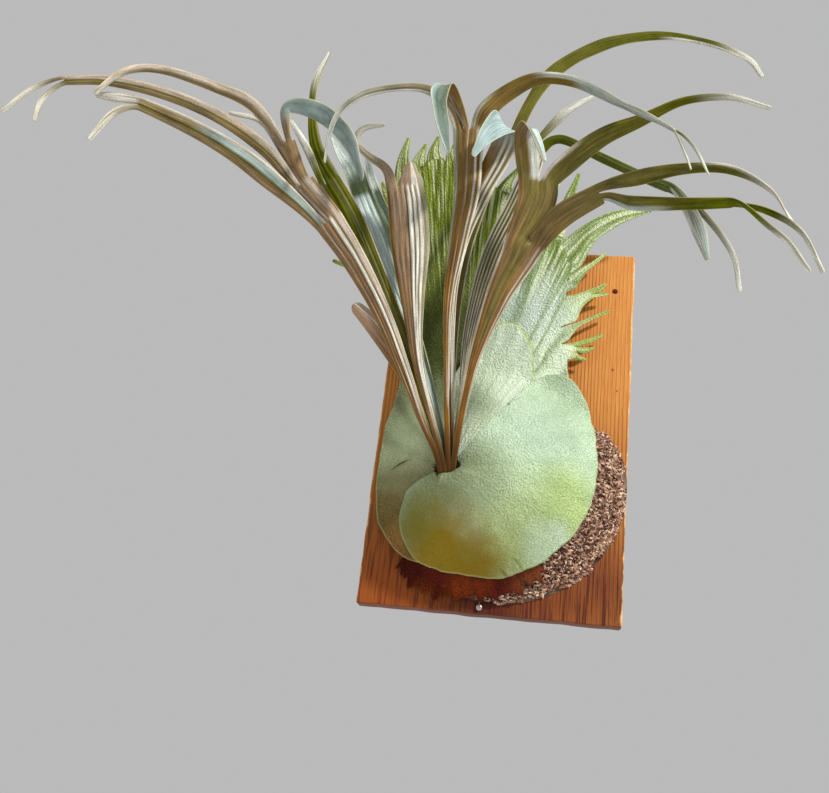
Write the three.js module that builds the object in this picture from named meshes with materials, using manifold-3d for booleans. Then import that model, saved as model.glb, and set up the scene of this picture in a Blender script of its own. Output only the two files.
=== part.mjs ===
import * as THREE from "three";
import Module from "manifold-3d";

const wasm = await Module();
wasm.setup();

// A staghorn fern grown on a hanging board. Sizes are millimetres and +z is up.
// The board's back is the plane y = 0, its centre is the origin, and the plant grows towards -y.
const board = { width: 240, height: 375, thickness: 18, edge: 1.2 };
const hangingHole = { radius: 3, x: 101, z: 146 };
const screw = { shank: 1.5, head: 3, headHeight: 1.9, proud: 3.6, depth: 11, play: 0.35 };
const lowerScrew = { x: -7, z: -181.5 };
const upperScrew = { x: -7, z: 64 };
const tie = { radius: 0.5, over: 1.4 };
const ball = { x: 3, z: -60, radius: 117, rise: 62, lip: 2.5, roundness: 1.1, crumb: 3.2, gap: 0.3 };
const ballShoulder = { angle: 53, spread: 22, inset: 34 };
const bud = { x: -41, z: -76, radius: 11.5, tip: -100, clearance: 0.35 };
const budFace = { y: -89.6, slope: 0.42 };
const stipe = { width: 3.8, clearance: 0.5, lean: 20 };
const shieldThickness = 1.4;
const bladeThickness = { root: 2.4, tip: 1.1, fade: 55 };
const rowStep = 22;

// Seeded random numbers from 0 to 1.
function randomFrom(seed) {
  let state = seed;
  return () => {
    state = (Math.imul(state, 1664525) + 1013904223) >>> 0;
    return state / 4294967296;
  };
}

// How far the root ball stands out from the board's face at a place on it.
function ballHeight(x, z) {
  const reach = Math.hypot(x - ball.x, z - ball.z) / ball.radius;
  return ball.lip + ball.rise * Math.max(0, 1 - reach * reach) ** ball.roundness;
}

// The larger of two heights, with the corner between them rounded.
function blendedHeight(first, second) {
  return (first + second + Math.hypot(first - second, 10)) / 2;
}

function smoothRise(value, from, to) {
  return THREE.MathUtils.smoothstep(value, from, to);
}

// A sheet under construction: points of its middle surface with the way each faces and half its thickness.
function newSheet() {
  return { points: [], facings: [], halves: [], faces: [] };
}

function addRow(sheet, places, facing, half) {
  return places.map((place) => {
    sheet.points.push(place);
    sheet.facings.push(facing);
    sheet.halves.push(half);
    return sheet.points.length - 1;
  });
}

// Joins two rows with triangles; the rows may hold different numbers of points.
function stitchRows(sheet, from, to) {
  const lastFrom = from.length - 1;
  const lastTo = to.length - 1;
  let i = 0;
  let j = 0;
  while (i < lastFrom || j < lastTo) {
    const stepFrom = j === lastTo || (i < lastFrom && (i + 1) / lastFrom <= (j + 1) / lastTo);
    if (stepFrom) {
      sheet.faces.push([from[i], from[i + 1], to[j]]);
      i += 1;
    } else {
      sheet.faces.push([from[i], to[j + 1], to[j]]);
      j += 1;
    }
  }
}

// The closed solid of a sheet: both faces, triangulated alike, and a rim round the free edges.
function sheetGeometry(sheet) {
  const count = sheet.points.length;
  const positions = [];
  for (const side of [1, -1]) {
    sheet.points.forEach((point, i) => {
      const place = point.clone().addScaledVector(sheet.facings[i], side * sheet.halves[i]);
      positions.push(place.x, place.y, place.z);
    });
  }
  const index = [];
  const used = new Set();
  for (const [a, b, c] of sheet.faces) {
    index.push(a, b, c, count + a, count + c, count + b);
    used.add(`${a} ${b}`).add(`${b} ${c}`).add(`${c} ${a}`);
  }
  for (const edge of used) {
    const [a, b] = edge.split(" ").map(Number);
    if (!used.has(`${b} ${a}`)) index.push(b, a, count + a, b, count + a, count + b);
  }
  const geometry = new THREE.BufferGeometry();
  geometry.setAttribute("position", new THREE.Float32BufferAttribute(positions, 3));
  geometry.setIndex(index);
  geometry.computeVertexNormals();
  return geometry;
}

// Points across a blade: a shallow gutter whose edges turn away from the facing side.
function crossSection(centre, tangent, facing, roll, width, cup, columns) {
  const turned = facing.clone().applyAxisAngle(tangent, THREE.MathUtils.degToRad(roll));
  const side = new THREE.Vector3().crossVectors(tangent, turned);
  const places = [];
  for (let j = 0; j <= columns; j += 1) {
    const angle = (-1 + (2 * j) / columns) * cup;
    const across = ((width / 2) * Math.sin(angle)) / cup;
    const back = ((width / 2) * (1 - Math.cos(angle))) / cup;
    places.push(centre.clone().addScaledVector(side, across).addScaledVector(turned, -back));
  }
  return { places, turned };
}

// Grows a branch from a row of the sheet through its stations [x, y, z, width, roll], then its forks.
// Each fork takes its share of the last row's columns, so the crotch between two forks is one shared point.
function growBranch(sheet, root, branch) {
  const { path, forks = [], cup = 0.55 } = branch;
  const columns = branch.columns ?? root.ids.length - 1;
  const stops = path.map(([x, y, z]) => new THREE.Vector3(x, y, z));
  const reach = root.centre.distanceTo(stops[0]);
  const before = root.centre.clone().addScaledVector(root.tangent, -reach);
  const curve = new THREE.CatmullRomCurve3([before, root.centre, ...stops], false, "catmullrom", 0.5);
  let last = { ...root };
  path.forEach((station, i) => {
    const from = i === 0 ? root : { width: path[i - 1][3], roll: path[i - 1][4] ?? 0 };
    const length = stops[i].distanceTo(i === 0 ? root.centre : stops[i - 1]);
    const rows = Math.max(1, Math.round(length / rowStep));
    for (let k = 1; k <= rows; k += 1) {
      const t = (i + 1 + k / rows) / (stops.length + 1);
      const centre = curve.getPoint(t);
      const tangent = curve.getTangent(t);
      const facing = last.facing.clone().projectOnPlane(tangent).normalize();
      const width = THREE.MathUtils.lerp(from.width, station[3], k / rows);
      const roll = THREE.MathUtils.lerp(from.roll, station[4] ?? 0, k / rows);
      const travelled = last.travelled + centre.distanceTo(last.centre);
      const row = { centre, tangent, facing, width, roll, travelled };
      row.ids = addSection(sheet, row, cup, columns);
      stitchRows(sheet, last.ids, row.ids);
      last = row;
    }
  });
  if (forks.length) growForks(sheet, last, forks);
  else roundTip(sheet, last, cup, columns);
}

function addSection(sheet, row, cup, columns) {
  const { centre, tangent, facing, roll, width, travelled } = row;
  const { root, tip, fade } = bladeThickness;
  const { places, turned } = crossSection(centre, tangent, facing, roll, width, cup, columns);
  return addRow(sheet, places, turned, (tip + (root - tip) * Math.exp(-travelled / fade)) / 2);
}

function growForks(sheet, last, forks) {
  const whole = last.ids.length - 1;
  let first = 0;
  for (const fork of forks) {
    const ids = last.ids.slice(first, first + fork.share + 1);
    const centre = sheet.points[ids[0]].clone().lerp(sheet.points[ids.at(-1)], 0.5);
    const width = (last.width * fork.share) / whole;
    first += fork.share;
    if (fork.path) growBranch(sheet, { ...last, ids, centre, width }, fork);
  }
}

function roundTip(sheet, last, cup, columns) {
  let end = last;
  for (const [ahead, narrowing] of [[0.4, 0.75], [0.65, 0.35]]) {
    const centre = last.centre.clone().addScaledVector(last.tangent, last.width * ahead);
    const row = { ...last, centre, width: last.width * narrowing };
    row.ids = addSection(sheet, row, cup, columns);
    stitchRows(sheet, end.ids, row.ids);
    end = row;
  }
}

// A fertile frond: a narrow stipe that widens, forks and ends in ribbons. Its underside faces -y at the root.
// The root gives the stipe's place on the bud's slanted face, across and up from the bud's axis.
function frondGeometry({ root, trunk, columns, upperSideOut = false }) {
  const sheet = newSheet();
  const [across, up] = root;
  const width = stipe.width;
  const y = budFace.y + up * budFace.slope - bladeThickness.root / 2 - stipe.clearance;
  const centre = new THREE.Vector3(bud.x + across, y, bud.z + up);
  const lean = THREE.MathUtils.degToRad(stipe.lean);
  const tangent = new THREE.Vector3(0, -Math.sin(lean), Math.cos(lean));
  const facing = new THREE.Vector3(0, upperSideOut ? 1 : -1, 0).projectOnPlane(tangent).normalize();
  const start = { centre, tangent, facing, width, roll: 0, travelled: 0 };
  start.ids = addSection(sheet, start, trunk.cup ?? 0.55, columns);
  growBranch(sheet, start, trunk);
  return sheetGeometry(sheet);
}

// A shield frond: rows spread from the bud to a rim, at a height given for each place, then its lobes.
// The rim runs clockwise as seen from the front.
function shieldGeometry({ rim, columns, rows, heightAt, lobes = [], inner = bud.radius + 1.2 }) {
  const sheet = newSheet();
  const centre = new THREE.Vector3(bud.x, 0, bud.z);
  const stops = rim.map(([x, z]) => new THREE.Vector3(x, 0, z));
  const route = new THREE.CatmullRomCurve3(stops, false, "centripetal");
  const edge = route.getSpacedPoints(columns);
  const facing = new THREE.Vector3(0, -1, 0);
  let last = [];
  for (let k = 0; k <= rows; k += 1) {
    const f = k / rows;
    const places = edge.map((stop, j) => {
      const start = stop.clone().sub(centre).setLength(inner).add(centre);
      const place = start.lerp(stop, f);
      place.y = -board.thickness - heightAt(place.x, place.z, f, j / columns) - shieldThickness / 2;
      return place;
    });
    const ids = addRow(sheet, places, facing, shieldThickness / 2);
    if (k > 0) stitchRows(sheet, last, ids);
    last = ids;
  }
  growLobes(sheet, last, lobes);
  return sheetGeometry(sheet);
}

// Lobes stand on the rim's columns; a lobe with no path leaves its columns bare.
function growLobes(sheet, rimIds, lobes) {
  let first = 0;
  for (const lobe of lobes) {
    const ids = rimIds.slice(first, first + lobe.share + 1);
    first += lobe.share;
    if (!lobe.path) continue;
    const left = sheet.points[ids[0]];
    const right = sheet.points[ids.at(-1)];
    const centre = left.clone().lerp(right, 0.5);
    const tangent = new THREE.Vector3(...lobe.path[0].slice(0, 3)).sub(centre).normalize();
    const facing = new THREE.Vector3(0, -1, 0).projectOnPlane(tangent).normalize();
    const travelled = 8 * bladeThickness.fade;
    const root = { ids, centre, tangent, facing, width: left.distanceTo(right), roll: 0, travelled };
    growBranch(sheet, root, { cup: 0.3, ...lobe });
  }
}

function fromBud(x, z) {
  return Math.hypot(x - bud.x, z - bud.z);
}

// Stands the two old shields off the ball in their middle and lets their rims down on it, save where they pass
// over the papery base.
function firstLayer(f, alongRim) {
  return THREE.MathUtils.lerp(2.9, 0.9, smoothRise(f, 0.6, 1) * smoothRise(alongRim, 0.08, 0.2));
}

function leftLean(x, z) {
  return 18 * (Math.max(0, fromBud(x, z) - 60) / 60) ** 0.9;
}

function crownLean(x, z) {
  return 0.15 * Math.max(0, fromBud(x, z) - 90);
}

function middleLean(x, z) {
  return 0.44 * Math.max(0, fromBud(x, z) - 60);
}

function leftShieldHeight(x, z, f, u) {
  return blendedHeight(ballHeight(x, z), leftLean(x, z)) + firstLayer(f, u);
}

function crownShieldHeight(x, z, f) {
  return blendedHeight(ballHeight(x, z), crownLean(x, z)) + firstLayer(f, 1);
}

function middleShieldHeight(x, z) {
  return blendedHeight(ballHeight(x, z), middleLean(x, z)) + 6;
}

// The old papery base lies on the ball: low at its left, where the old shield passes over it, and elsewhere
// clear of the tie.
function paperyHeight(x, z) {
  return ballHeight(x, z) + THREE.MathUtils.lerp(1.5, 2.9, smoothRise(x, -40, -24));
}

// The newest shield rides over the middle one along its top edge, puffs out below the bud and grips the ball.
function frontShieldHeight(x, z, f, u) {
  const onTop = 1 - smoothRise(u, 0.08, 0.24);
  const beside = THREE.MathUtils.lerp(crownLean(x, z), leftLean(x, z), smoothRise(u, 0.5, 0.8));
  const lean = THREE.MathUtils.lerp(beside, middleLean(x, z), onTop);
  const swollen = smoothRise(u, 0.1, 0.5) * (1 - 0.5 * smoothRise(u, 0.85, 1));
  const puff = 11 * Math.sin(Math.PI * (0.3 + 0.7 * f)) * swollen;
  const clear = THREE.MathUtils.lerp(9, 5.6, smoothRise(f, 0.75, 1) * (1 - onTop)) + 1.4 * f * onTop;
  const collar = 7 * Math.exp(-(((fromBud(x, z) - 17) / 12) ** 2)) * smoothRise(u, 0.3, 0.5);
  return blendedHeight(ballHeight(x, z), lean) + puff + clear + collar;
}

function shieldFront() {
  const rim = [
    [27, 24], [43, 32], [61, 27], [75, 12], [85, -14], [90, -54], [86, -86], [75, -111], [61, -128],
    [43, -145], [24, -153], [8, -159], [-23, -158], [-50, -154], [-66, -147], [-77, -136], [-84, -118],
    [-84, -102], [-80, -88],
  ];
  return shieldGeometry({ rim, columns: 28, rows: 7, heightAt: frontShieldHeight });
}

function shieldMiddle() {
  const rim = [
    [-66, -40], [-68, -15], [-60, 8], [-49, 30], [-34, 55], [-17, 75], [-1, 80], [14, 73], [24, 55],
    [28, 32], [41, 14],
  ];
  return shieldGeometry({ rim, columns: 15, rows: 7, heightAt: middleShieldHeight, inner: 14.5 });
}

function shieldLeft() {
  const rim = [
    [-40, -148], [-58, -150], [-76, -146], [-92, -134], [-107, -112], [-113, -84], [-113, -55],
    [-111, -21], [-105, 6], [-102, 28], [-107, 57], [-114, 93], [-120, 134], [-129, 168], [-127, 196],
    [-115, 222], [-97, 240], [-76, 246], [-54, 240], [-31, 226], [-8, 208],
  ];
  const lobes = [
    { share: 18 },
    { share: 2, path: [[-145, -81, 190, 16], [-155, -86, 212, 10], [-161, -89, 226, 4]] },
    { share: 1, columns: 2, path: [[-132, -83, 210, 8], [-136, -85, 218, 4]] },
    { share: 1, columns: 2, path: [[-118, -88, 238, 14], [-117, -92, 254, 8], [-115, -93, 266, 4]] },
    { share: 1, columns: 2, path: [[-101, -91, 247, 11], [-97, -93, 259, 4]] },
    { share: 1, columns: 2, path: [[-87, -92, 254, 12], [-85, -94, 268, 4]] },
    { share: 1, columns: 2, path: [[-69, -91, 254, 11], [-66, -92, 264, 4]] },
    { share: 1, columns: 2, path: [[-48, -90, 248, 11], [-42, -92, 262, 4]] },
    { share: 1, columns: 2, path: [[-28, -87, 238, 10], [-20, -89, 252, 4]] },
    { share: 1, columns: 2, path: [[-12, -84, 226, 10], [-3, -86, 240, 4]] },
  ];
  return shieldGeometry({ rim, columns: 28, rows: 11, heightAt: leftShieldHeight, lobes });
}

function shieldCrown() {
  const rim = [
    [-1, 204], [14, 202], [30, 194], [44, 181], [53, 156], [52, 124], [50, 100], [49, 80], [57, 62],
    [60, 44], [70, 17], [83, -21], [88, -60], [85, -87], [71, -112], [50, -134],
  ];
  const lobes = [
    { share: 1, columns: 2, path: [[9, -60, 226, 9], [12, -63, 247, 4]] },
    { share: 1, columns: 2, path: [[28, -58, 222, 10], [36, -63, 243, 8], [44, -66, 262, 4]] },
    { share: 1, columns: 2, path: [[45, -56, 213, 11], [51, -62, 231, 8], [57, -66, 249, 4]] },
    { share: 2, path: [[70, -53, 190, 22], [92, -58, 204, 17], [112, -61, 211, 11], [130, -63, 214, 4]] },
    { share: 1, columns: 2, path: [[70, -46, 158, 12], [80, -42, 168, 8], [88, -38, 176, 4]] },
    { share: 2, path: [[66, -38, 124, 24], [78, -34, 134, 15], [92, -32, 144, 5]] },
    { share: 1, columns: 2, path: [[64, -35, 96, 8], [80, -32, 108, 5], [94, -30, 117, 4]] },
    { share: 1, columns: 2, path: [[70, -31, 76, 13], [79, -30, 83, 8], [88, -29, 90, 4]] },
    { share: 12 },
  ];
  return shieldGeometry({ rim, columns: 22, rows: 11, heightAt: crownShieldHeight, lobes });
}

function shieldPaperyBase() {
  const rim = [[52, -149], [39, -160], [18, -171], [-13, -176], [-49, -174], [-77, -164], [-88, -155]];
  return shieldGeometry({ rim, columns: 12, rows: 9, heightAt: paperyHeight });
}

function frondLeftLong() {
  const longBlade = {
    share: 3,
    path: [[-212, -212, 138, 19], [-245, -227, 155, 17], [-279, -241, 167, 15], [-318, -259, 175, 12]],
    forks: [
      { share: 1, path: [[-331, -270, 157, 7], [-343, -276, 127, 5]] },
      { share: 2, path: [[-337, -265, 176, 9], [-351, -267, 176, 5]] },
    ],
  };
  const paleBlade = {
    share: 2,
    path: [[-220, -208, 169, 13], [-258, -234, 183, 12], [-300, -258, 187, 11], [-342, -276, 184, 9],
      [-372, -288, 174, 8]],
    forks: [
      { share: 1, path: [[-384, -292, 152, 5], [-382, -297, 128, 4]] },
      { share: 1, path: [[-396, -293, 160, 5], [-411, -297, 136, 4]] },
    ],
  };
  const crest = [
    { share: 1, path: [[-229, -206, 200, 6], [-255, -212, 203, 4]] },
    {
      share: 1,
      columns: 2,
      path: [[-236, -214, 211, 12], [-266, -232, 215, 10], [-307, -255, 214, 8], [-330, -273, 197, 7],
        [-340, -290, 162, 5]],
    },
    {
      share: 1,
      columns: 2,
      path: [[-207, -208, 214, 13, 0], [-180, -213, 208, 18, 20], [-149, -216, 181, 21, 30],
        [-129, -217, 142, 13, 40]],
    },
  ];
  const hub = {
    share: 5,
    path: [[-184, -193, 145, 22]],
    forks: [paleBlade, { share: 3, path: [[-204, -201, 180, 20]], forks: crest }],
  };
  const path = [[-68, -110, -35, 6.5], [-86, -127, 4, 12], [-109, -147, 48, 17], [-135, -167, 86, 23],
    [-158, -183, 113, 28]];
  return frondGeometry({ root: [-7, -6], columns: 8, trunk: { path, forks: [longBlade, hub] } });
}

function frondLeftOlive() {
  const finger = {
    share: 3,
    columns: 2,
    path: [[-187, -165, 205, 13], [-198, -163, 250, 8], [-200, -160, 285, 8], [-194, -155, 319, 5]],
  };
  const spur = { share: 1, path: [[-193, -168, 197, 8], [-212, -172, 225, 4]] };
  const path = [[-62, -104, -29, 6], [-86, -119, 26, 15], [-116, -137, 85, 24], [-145, -152, 137, 28],
    [-168, -161, 169, 24]];
  return frondGeometry({ root: [-6, 1], columns: 4, trunk: { path, forks: [spur, finger] } });
}

function frondLeftBlue() {
  const tip = [[-157, -134, 203, 19], [-170, -137, 220, 13], [-178, -139, 231, 6]];
  const main = { share: 3, columns: 2, path: tip };
  const spur = { share: 1, path: [[-138, -133, 195, 8], [-144, -135, 212, 4]] };
  const path = [[-58, -100, -16, 6], [-81, -111, 44, 11], [-103, -118, 96, 22], [-120, -125, 136, 30],
    [-139, -130, 174, 28]];
  const trunk = { path, forks: [spur, main] };
  return frondGeometry({ root: [-1, 1], columns: 4, trunk, upperSideOut: true });
}

function frondCentreWide() {
  const curl = {
    share: 2,
    path: [[-117, -167, 180, 9], [-134, -171, 191, 7], [-147, -176, 203, 6], [-141, -182, 213, 6],
      [-123, -185, 215, 4]],
  };
  const middle = { share: 2, path: [[-102, -166, 176, 13]] };
  const right = { share: 2, path: [[-90, -167, 179, 13]] };
  const path = [[-57, -109, -38, 5.5], [-74, -124, 12, 10.5], [-83, -139, 63, 22], [-89, -150, 107, 36],
    [-95, -159, 146, 38], [-99, -163, 163, 36]];
  return frondGeometry({ root: [-2.5, -6], columns: 6, trunk: { path, forks: [curl, middle, right] } });
}

function frondCentreTall() {
  const leftArc = {
    share: 2,
    path: [[-70, -174, 250, 12], [-91, -194, 250, 8], [-129, -216, 227, 7], [-149, -230, 198, 7],
      [-155, -236, 168, 6], [-154, -240, 137, 4]],
  };
  const droop = {
    share: 1,
    columns: 2,
    path: [[-62, -176, 251, 12, -20], [-68, -192, 255, 15, -50], [-72, -206, 232, 18, -85],
      [-66, -213, 200, 17, -95], [-57, -217, 169, 8, -95]],
  };
  const arm = {
    share: 3,
    path: [[-34, -168, 240, 20], [-15, -175, 261, 17], [12, -185, 270, 13], [45, -198, 258, 10, 0],
      [83, -216, 222, 9, 40], [116, -234, 189, 10, 80], [129, -241, 176, 11, 90]],
    forks: [
      { share: 1, path: [[134, -247, 157, 6, 90], [140, -252, 134, 4, 90]] },
      { share: 2, columns: 2, path: [[143, -246, 158, 7, 90], [153, -252, 130, 4, 90]] },
    ],
  };
  const path = [[-45, -104, -35, 4.5], [-49, -117, 17, 5.5], [-52, -129, 70, 9.5], [-48, -141, 125, 17],
    [-44, -151, 171, 25], [-46, -159, 212, 28]];
  return frondGeometry({ root: [2, -6], columns: 6, trunk: { path, forks: [leftArc, droop, arm] } });
}

function frondCentreBlue() {
  const path = [[-41, -99.5, -34, 4.5], [-46, -110, 19, 6], [-50, -121, 72, 9], [-47, -131, 123, 13],
    [-35, -142, 169, 20], [-19, -153, 205, 25], [-10, -171, 222, 27, -20], [-17, -190, 216, 26, -50],
    [-27, -203, 196, 19, -75], [-34, -209, 173, 9, -80]];
  return frondGeometry({ root: [4, 1], columns: 4, trunk: { path } });
}

function frondRightMain() {
  const crest = {
    share: 3,
    path: [[10, -178, 191, 23], [7, -187, 206, 21], [9, -198, 208, 18], [16, -208, 191, 13],
      [25, -212, 166, 6]],
  };
  const arm = {
    share: 3,
    columns: 3,
    path: [[44, -179, 184, 20], [74, -198, 200, 17], [106, -215, 206, 11], [137, -230, 214, 7],
      [171, -240, 211, 6], [202, -244, 199, 4]],
  };
  const upper = { share: 6, path: [[20, -166, 152, 36], [21, -171, 170, 37]], forks: [crest, arm] };
  const overArc = {
    share: 2,
    path: [[104, -210, 151, 14], [139, -222, 153, 10], [173, -232, 147, 8, 0], [202, -239, 125, 6, 40],
      [217, -242, 96, 5, 80]],
  };
  const underArc = {
    share: 2,
    path: [[100, -210, 126, 13], [139, -226, 117, 11], [174, -241, 110, 9]],
    forks: [
      { share: 1, path: [[198, -252, 84, 5], [212, -257, 66, 5], [224, -260, 43, 4]] },
      { share: 1, path: [[197, -249, 99, 6], [221, -255, 78, 5], [234, -258, 44, 4]] },
    ],
  };
  const lower = { share: 4, path: [[42, -173, 133, 22], [74, -193, 145, 19]], forks: [overArc, underArc] };
  const path = [[-32, -108, -36, 5.5], [-24, -123, 16, 9.5], [-9, -138, 68, 22], [8, -151, 106, 34],
    [12, -155, 116, 39]];
  return frondGeometry({ root: [6.5, -6], columns: 10, trunk: { path, forks: [upper, lower] } });
}

function frondBackTall() {
  const path = [[-43, -96, -13, 4.5], [-46, -104, 53, 6.5], [-43, -111, 122, 8.5], [-30, -116, 185, 9.5],
    [-12, -119, 240, 11], [4, -121, 290, 12], [25, -126, 327, 15], [67, -131, 356, 14], [119, -138, 364, 10],
    [168, -146, 350, 7], [205, -151, 327, 6], [217, -153, 306, 4]];
  return frondGeometry({ root: [0, 7], columns: 3, trunk: { path } });
}

function frondBackLow() {
  const upper = { share: 1, columns: 2, path: [[34, -129, 270, 10], [51, -133, 284, 7], [70, -137, 292, 4]] };
  const bluntTip = { share: 2, path: [[150, -175, 145, 12], [158, -181, 120, 12], [164, -184, 94, 5]] };
  const longTip = { share: 1, path: [[159, -174, 146, 6], [183, -188, 98, 5], [188, -194, 60, 4]] };
  const right = {
    share: 3,
    path: [[36, -129, 247, 9], [77, -140, 219, 9], [115, -156, 188, 9], [135, -165, 173, 10]],
    forks: [bluntTip, longTip],
  };
  const path = [[-35, -95, -12, 5], [-32, -104, 54, 13], [-19, -113, 124, 21], [3, -119, 185, 23],
    [16, -123, 236, 17]];
  return frondGeometry({ root: [5, 7], columns: 4, trunk: { path, forks: [upper, right] } });
}

function frondYoungLeft() {
  const path = [[-67, -97, -36, 7], [-83, -104, -2, 11], [-101, -110, 26, 18], [-119, -116, 47, 18],
    [-134, -119, 60, 13]];
  return frondGeometry({ root: [-5, 7], columns: 3, trunk: { path } });
}

function solidFrom(geometry) {
  const position = geometry.getAttribute("position");
  const mesh = new wasm.Mesh({
    numProp: 3,
    vertProperties: new Float32Array(position.array),
    triVerts: new Uint32Array(geometry.index.array),
  });
  return new wasm.Manifold(mesh);
}

function geometryFrom(solid) {
  const mesh = solid.getMesh();
  const geometry = new THREE.BufferGeometry();
  geometry.setAttribute("position", new THREE.BufferAttribute(mesh.vertProperties, 3));
  geometry.setIndex(new THREE.BufferAttribute(mesh.triVerts, 1));
  geometry.computeVertexNormals();
  return geometry;
}

// A rod along y as a boolean tool, from the depth yFrom to yTo.
function rodAlongY(radius, x, z, yFrom, yTo) {
  const rod = wasm.Manifold.cylinder(Math.abs(yTo - yFrom), radius, radius, 16, true);
  return rod.rotate([90, 0, 0]).translate([x, (yFrom + yTo) / 2, z]);
}

// The plank with eased edges, two hanging holes and a pilot hole for each screw.
function boardGeometry() {
  const { width, height, thickness, edge } = board;
  const core = (x, y, z) => wasm.Manifold.cube([x, y, z], true);
  const slabs = [
    core(width, thickness - 2 * edge, height - 2 * edge),
    core(width - 2 * edge, thickness, height - 2 * edge),
    core(width - 2 * edge, thickness - 2 * edge, height),
  ];
  let plank = wasm.Manifold.hull(slabs).translate([0, -thickness / 2, 0]);
  for (const side of [-1, 1]) {
    const { radius, x, z } = hangingHole;
    plank = plank.subtract(rodAlongY(radius, side * x, z, 1, -thickness - 1));
  }
  for (const { x, z } of [lowerScrew, upperScrew]) {
    const bottom = -thickness + screw.depth + screw.play;
    plank = plank.subtract(rodAlongY(screw.shank + screw.play, x, z, bottom, -thickness - 1));
  }
  return geometryFrom(plank);
}

// A round-headed screw that stands proud of the board, head towards -y.
function screwGeometry({ x, z }) {
  const { shank, head, headHeight, proud, depth } = screw;
  const profile = [
    [0, -depth], [shank * 0.5, -depth], [shank, -depth + 2], [shank, proud], [head, proud],
    [head, proud + headHeight * 0.4], [head * 0.6, proud + headHeight * 0.85], [0, proud + headHeight],
  ];
  const geometry = new THREE.LatheGeometry(profile.map(([r, h]) => new THREE.Vector2(r, h)), 16);
  return geometry.rotateX(Math.PI).translate(x, -board.thickness, z);
}

// The tie: a loop round each screw and a line between them over the root ball.
function tieGeometry() {
  const loopRadius = screw.shank + tie.radius + 0.3;
  const loopDepth = 1.4;
  const loopAt = ({ x, z }) => {
    const loop = weld(new THREE.TorusGeometry(loopRadius, tie.radius, 6, 14));
    return solidFrom(loop).rotate([90, 0, 0]).translate([x, -board.thickness - loopDepth, z]);
  };
  const from = lowerScrew.z + loopRadius;
  const to = upperScrew.z - loopRadius;
  const stops = [new THREE.Vector3(lowerScrew.x, -board.thickness - loopDepth, from)];
  for (let k = 0; k <= 20; k += 1) {
    const z = THREE.MathUtils.lerp(from + 3, to - 3, k / 20);
    stops.push(new THREE.Vector3(lowerScrew.x, -board.thickness - ballHeight(lowerScrew.x, z) - tie.over, z));
  }
  stops.push(new THREE.Vector3(upperScrew.x, -board.thickness - loopDepth, to));
  const corners = [0, 1, 2, 3, 4, 5].map((k) => (k / 3) * Math.PI);
  const r = tie.radius;
  const round = corners.map((a) => new THREE.Vector2(Math.cos(a), Math.sin(a)).multiplyScalar(r));
  const section = new THREE.Shape(round);
  const route = new THREE.CatmullRomCurve3(stops, false, "centripetal");
  const line = new THREE.ExtrudeGeometry(section, { steps: 44, curveSegments: 1, extrudePath: route });
  const strand = solidFrom(weld(line));
  return geometryFrom(strand.add(loopAt(lowerScrew)).add(loopAt(upperScrew)));
}

// How strongly the root ball's upper right shoulder is drawn in at an angle in degrees, from 0 to 1.
function shoulderAt(angle) {
  const away = ((((angle - ballShoulder.angle) % 360) + 540) % 360) - 180;
  return Math.exp(-((away / ballShoulder.spread) ** 2));
}

// The root ball: a low mound whose bare lower right bank is broken into crumbs.
function ballSolid() {
  const random = randomFrom(7);
  const bare = { from: -80, to: 25 };
  const angles = [];
  for (let angle = bare.from; angle < bare.to; angle += 3.5) angles.push(angle);
  for (let angle = bare.to; angle < 360 + bare.from; angle += 12) angles.push(angle);
  const sheet = [];
  const index = [];
  const reaches = [0.15, 0.35, 0.52, 0.65, 0.74, 0.8, 0.86, 0.91, 0.96, 1];
  sheet.push(ball.x, -board.thickness - ballHeight(ball.x, ball.z), ball.z);
  for (const reach of reaches) {
    for (const angle of angles) {
      const crumbly = angle < bare.to && reach > 0.7 ? 1 : 0;
      const fade = crumbly * smoothRise(bare.to - angle, 0, 12) * smoothRise(angle - bare.from, -4, 12);
      const shrink = 1 - 0.03 * random() * fade;
      const turned = THREE.MathUtils.degToRad(angle + (random() - 0.5) * 1.8 * fade);
      const shoulder = shoulderAt(angle);
      const distance = (ball.radius - ballShoulder.inset * shoulder) * reach * shrink;
      const x = ball.x + distance * Math.cos(turned);
      const z = ball.z + distance * Math.sin(turned);
      const drop = 1 - 0.8 * shoulder * smoothRise(reach, 0.84, 1);
      const height = Math.max(1.2, ballHeight(x, z) * drop - ball.crumb * random() * fade);
      sheet.push(x, -board.thickness - height, z);
    }
  }
  const count = angles.length;
  const at = (ring, k) => 1 + ring * count + (k % count);
  for (let k = 0; k < count; k += 1) {
    index.push(0, at(0, k), at(0, k + 1));
    for (let ring = 0; ring < reaches.length - 1; ring += 1) {
      index.push(at(ring, k), at(ring + 1, k), at(ring + 1, k + 1));
      index.push(at(ring, k), at(ring + 1, k + 1), at(ring, k + 1));
    }
  }
  const edgeStart = 1 + (reaches.length - 1) * count;
  const foot = sheet.length / 3;
  for (let k = 0; k < count; k += 1) {
    const rimPoint = 3 * (edgeStart + k);
    sheet.push(sheet[rimPoint], -board.thickness - ball.gap, sheet[rimPoint + 2]);
  }
  const centre = sheet.length / 3;
  sheet.push(ball.x, -board.thickness - ball.gap, ball.z);
  for (let k = 0; k < count; k += 1) {
    const next = (k + 1) % count;
    index.push(edgeStart + k, foot + k, foot + next, edgeStart + k, foot + next, edgeStart + next);
    index.push(foot + k, centre, foot + next);
  }
  const geometry = new THREE.BufferGeometry();
  geometry.setAttribute("position", new THREE.Float32BufferAttribute(sheet, 3));
  geometry.setIndex(index);
  return solidFrom(geometry);
}

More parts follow.
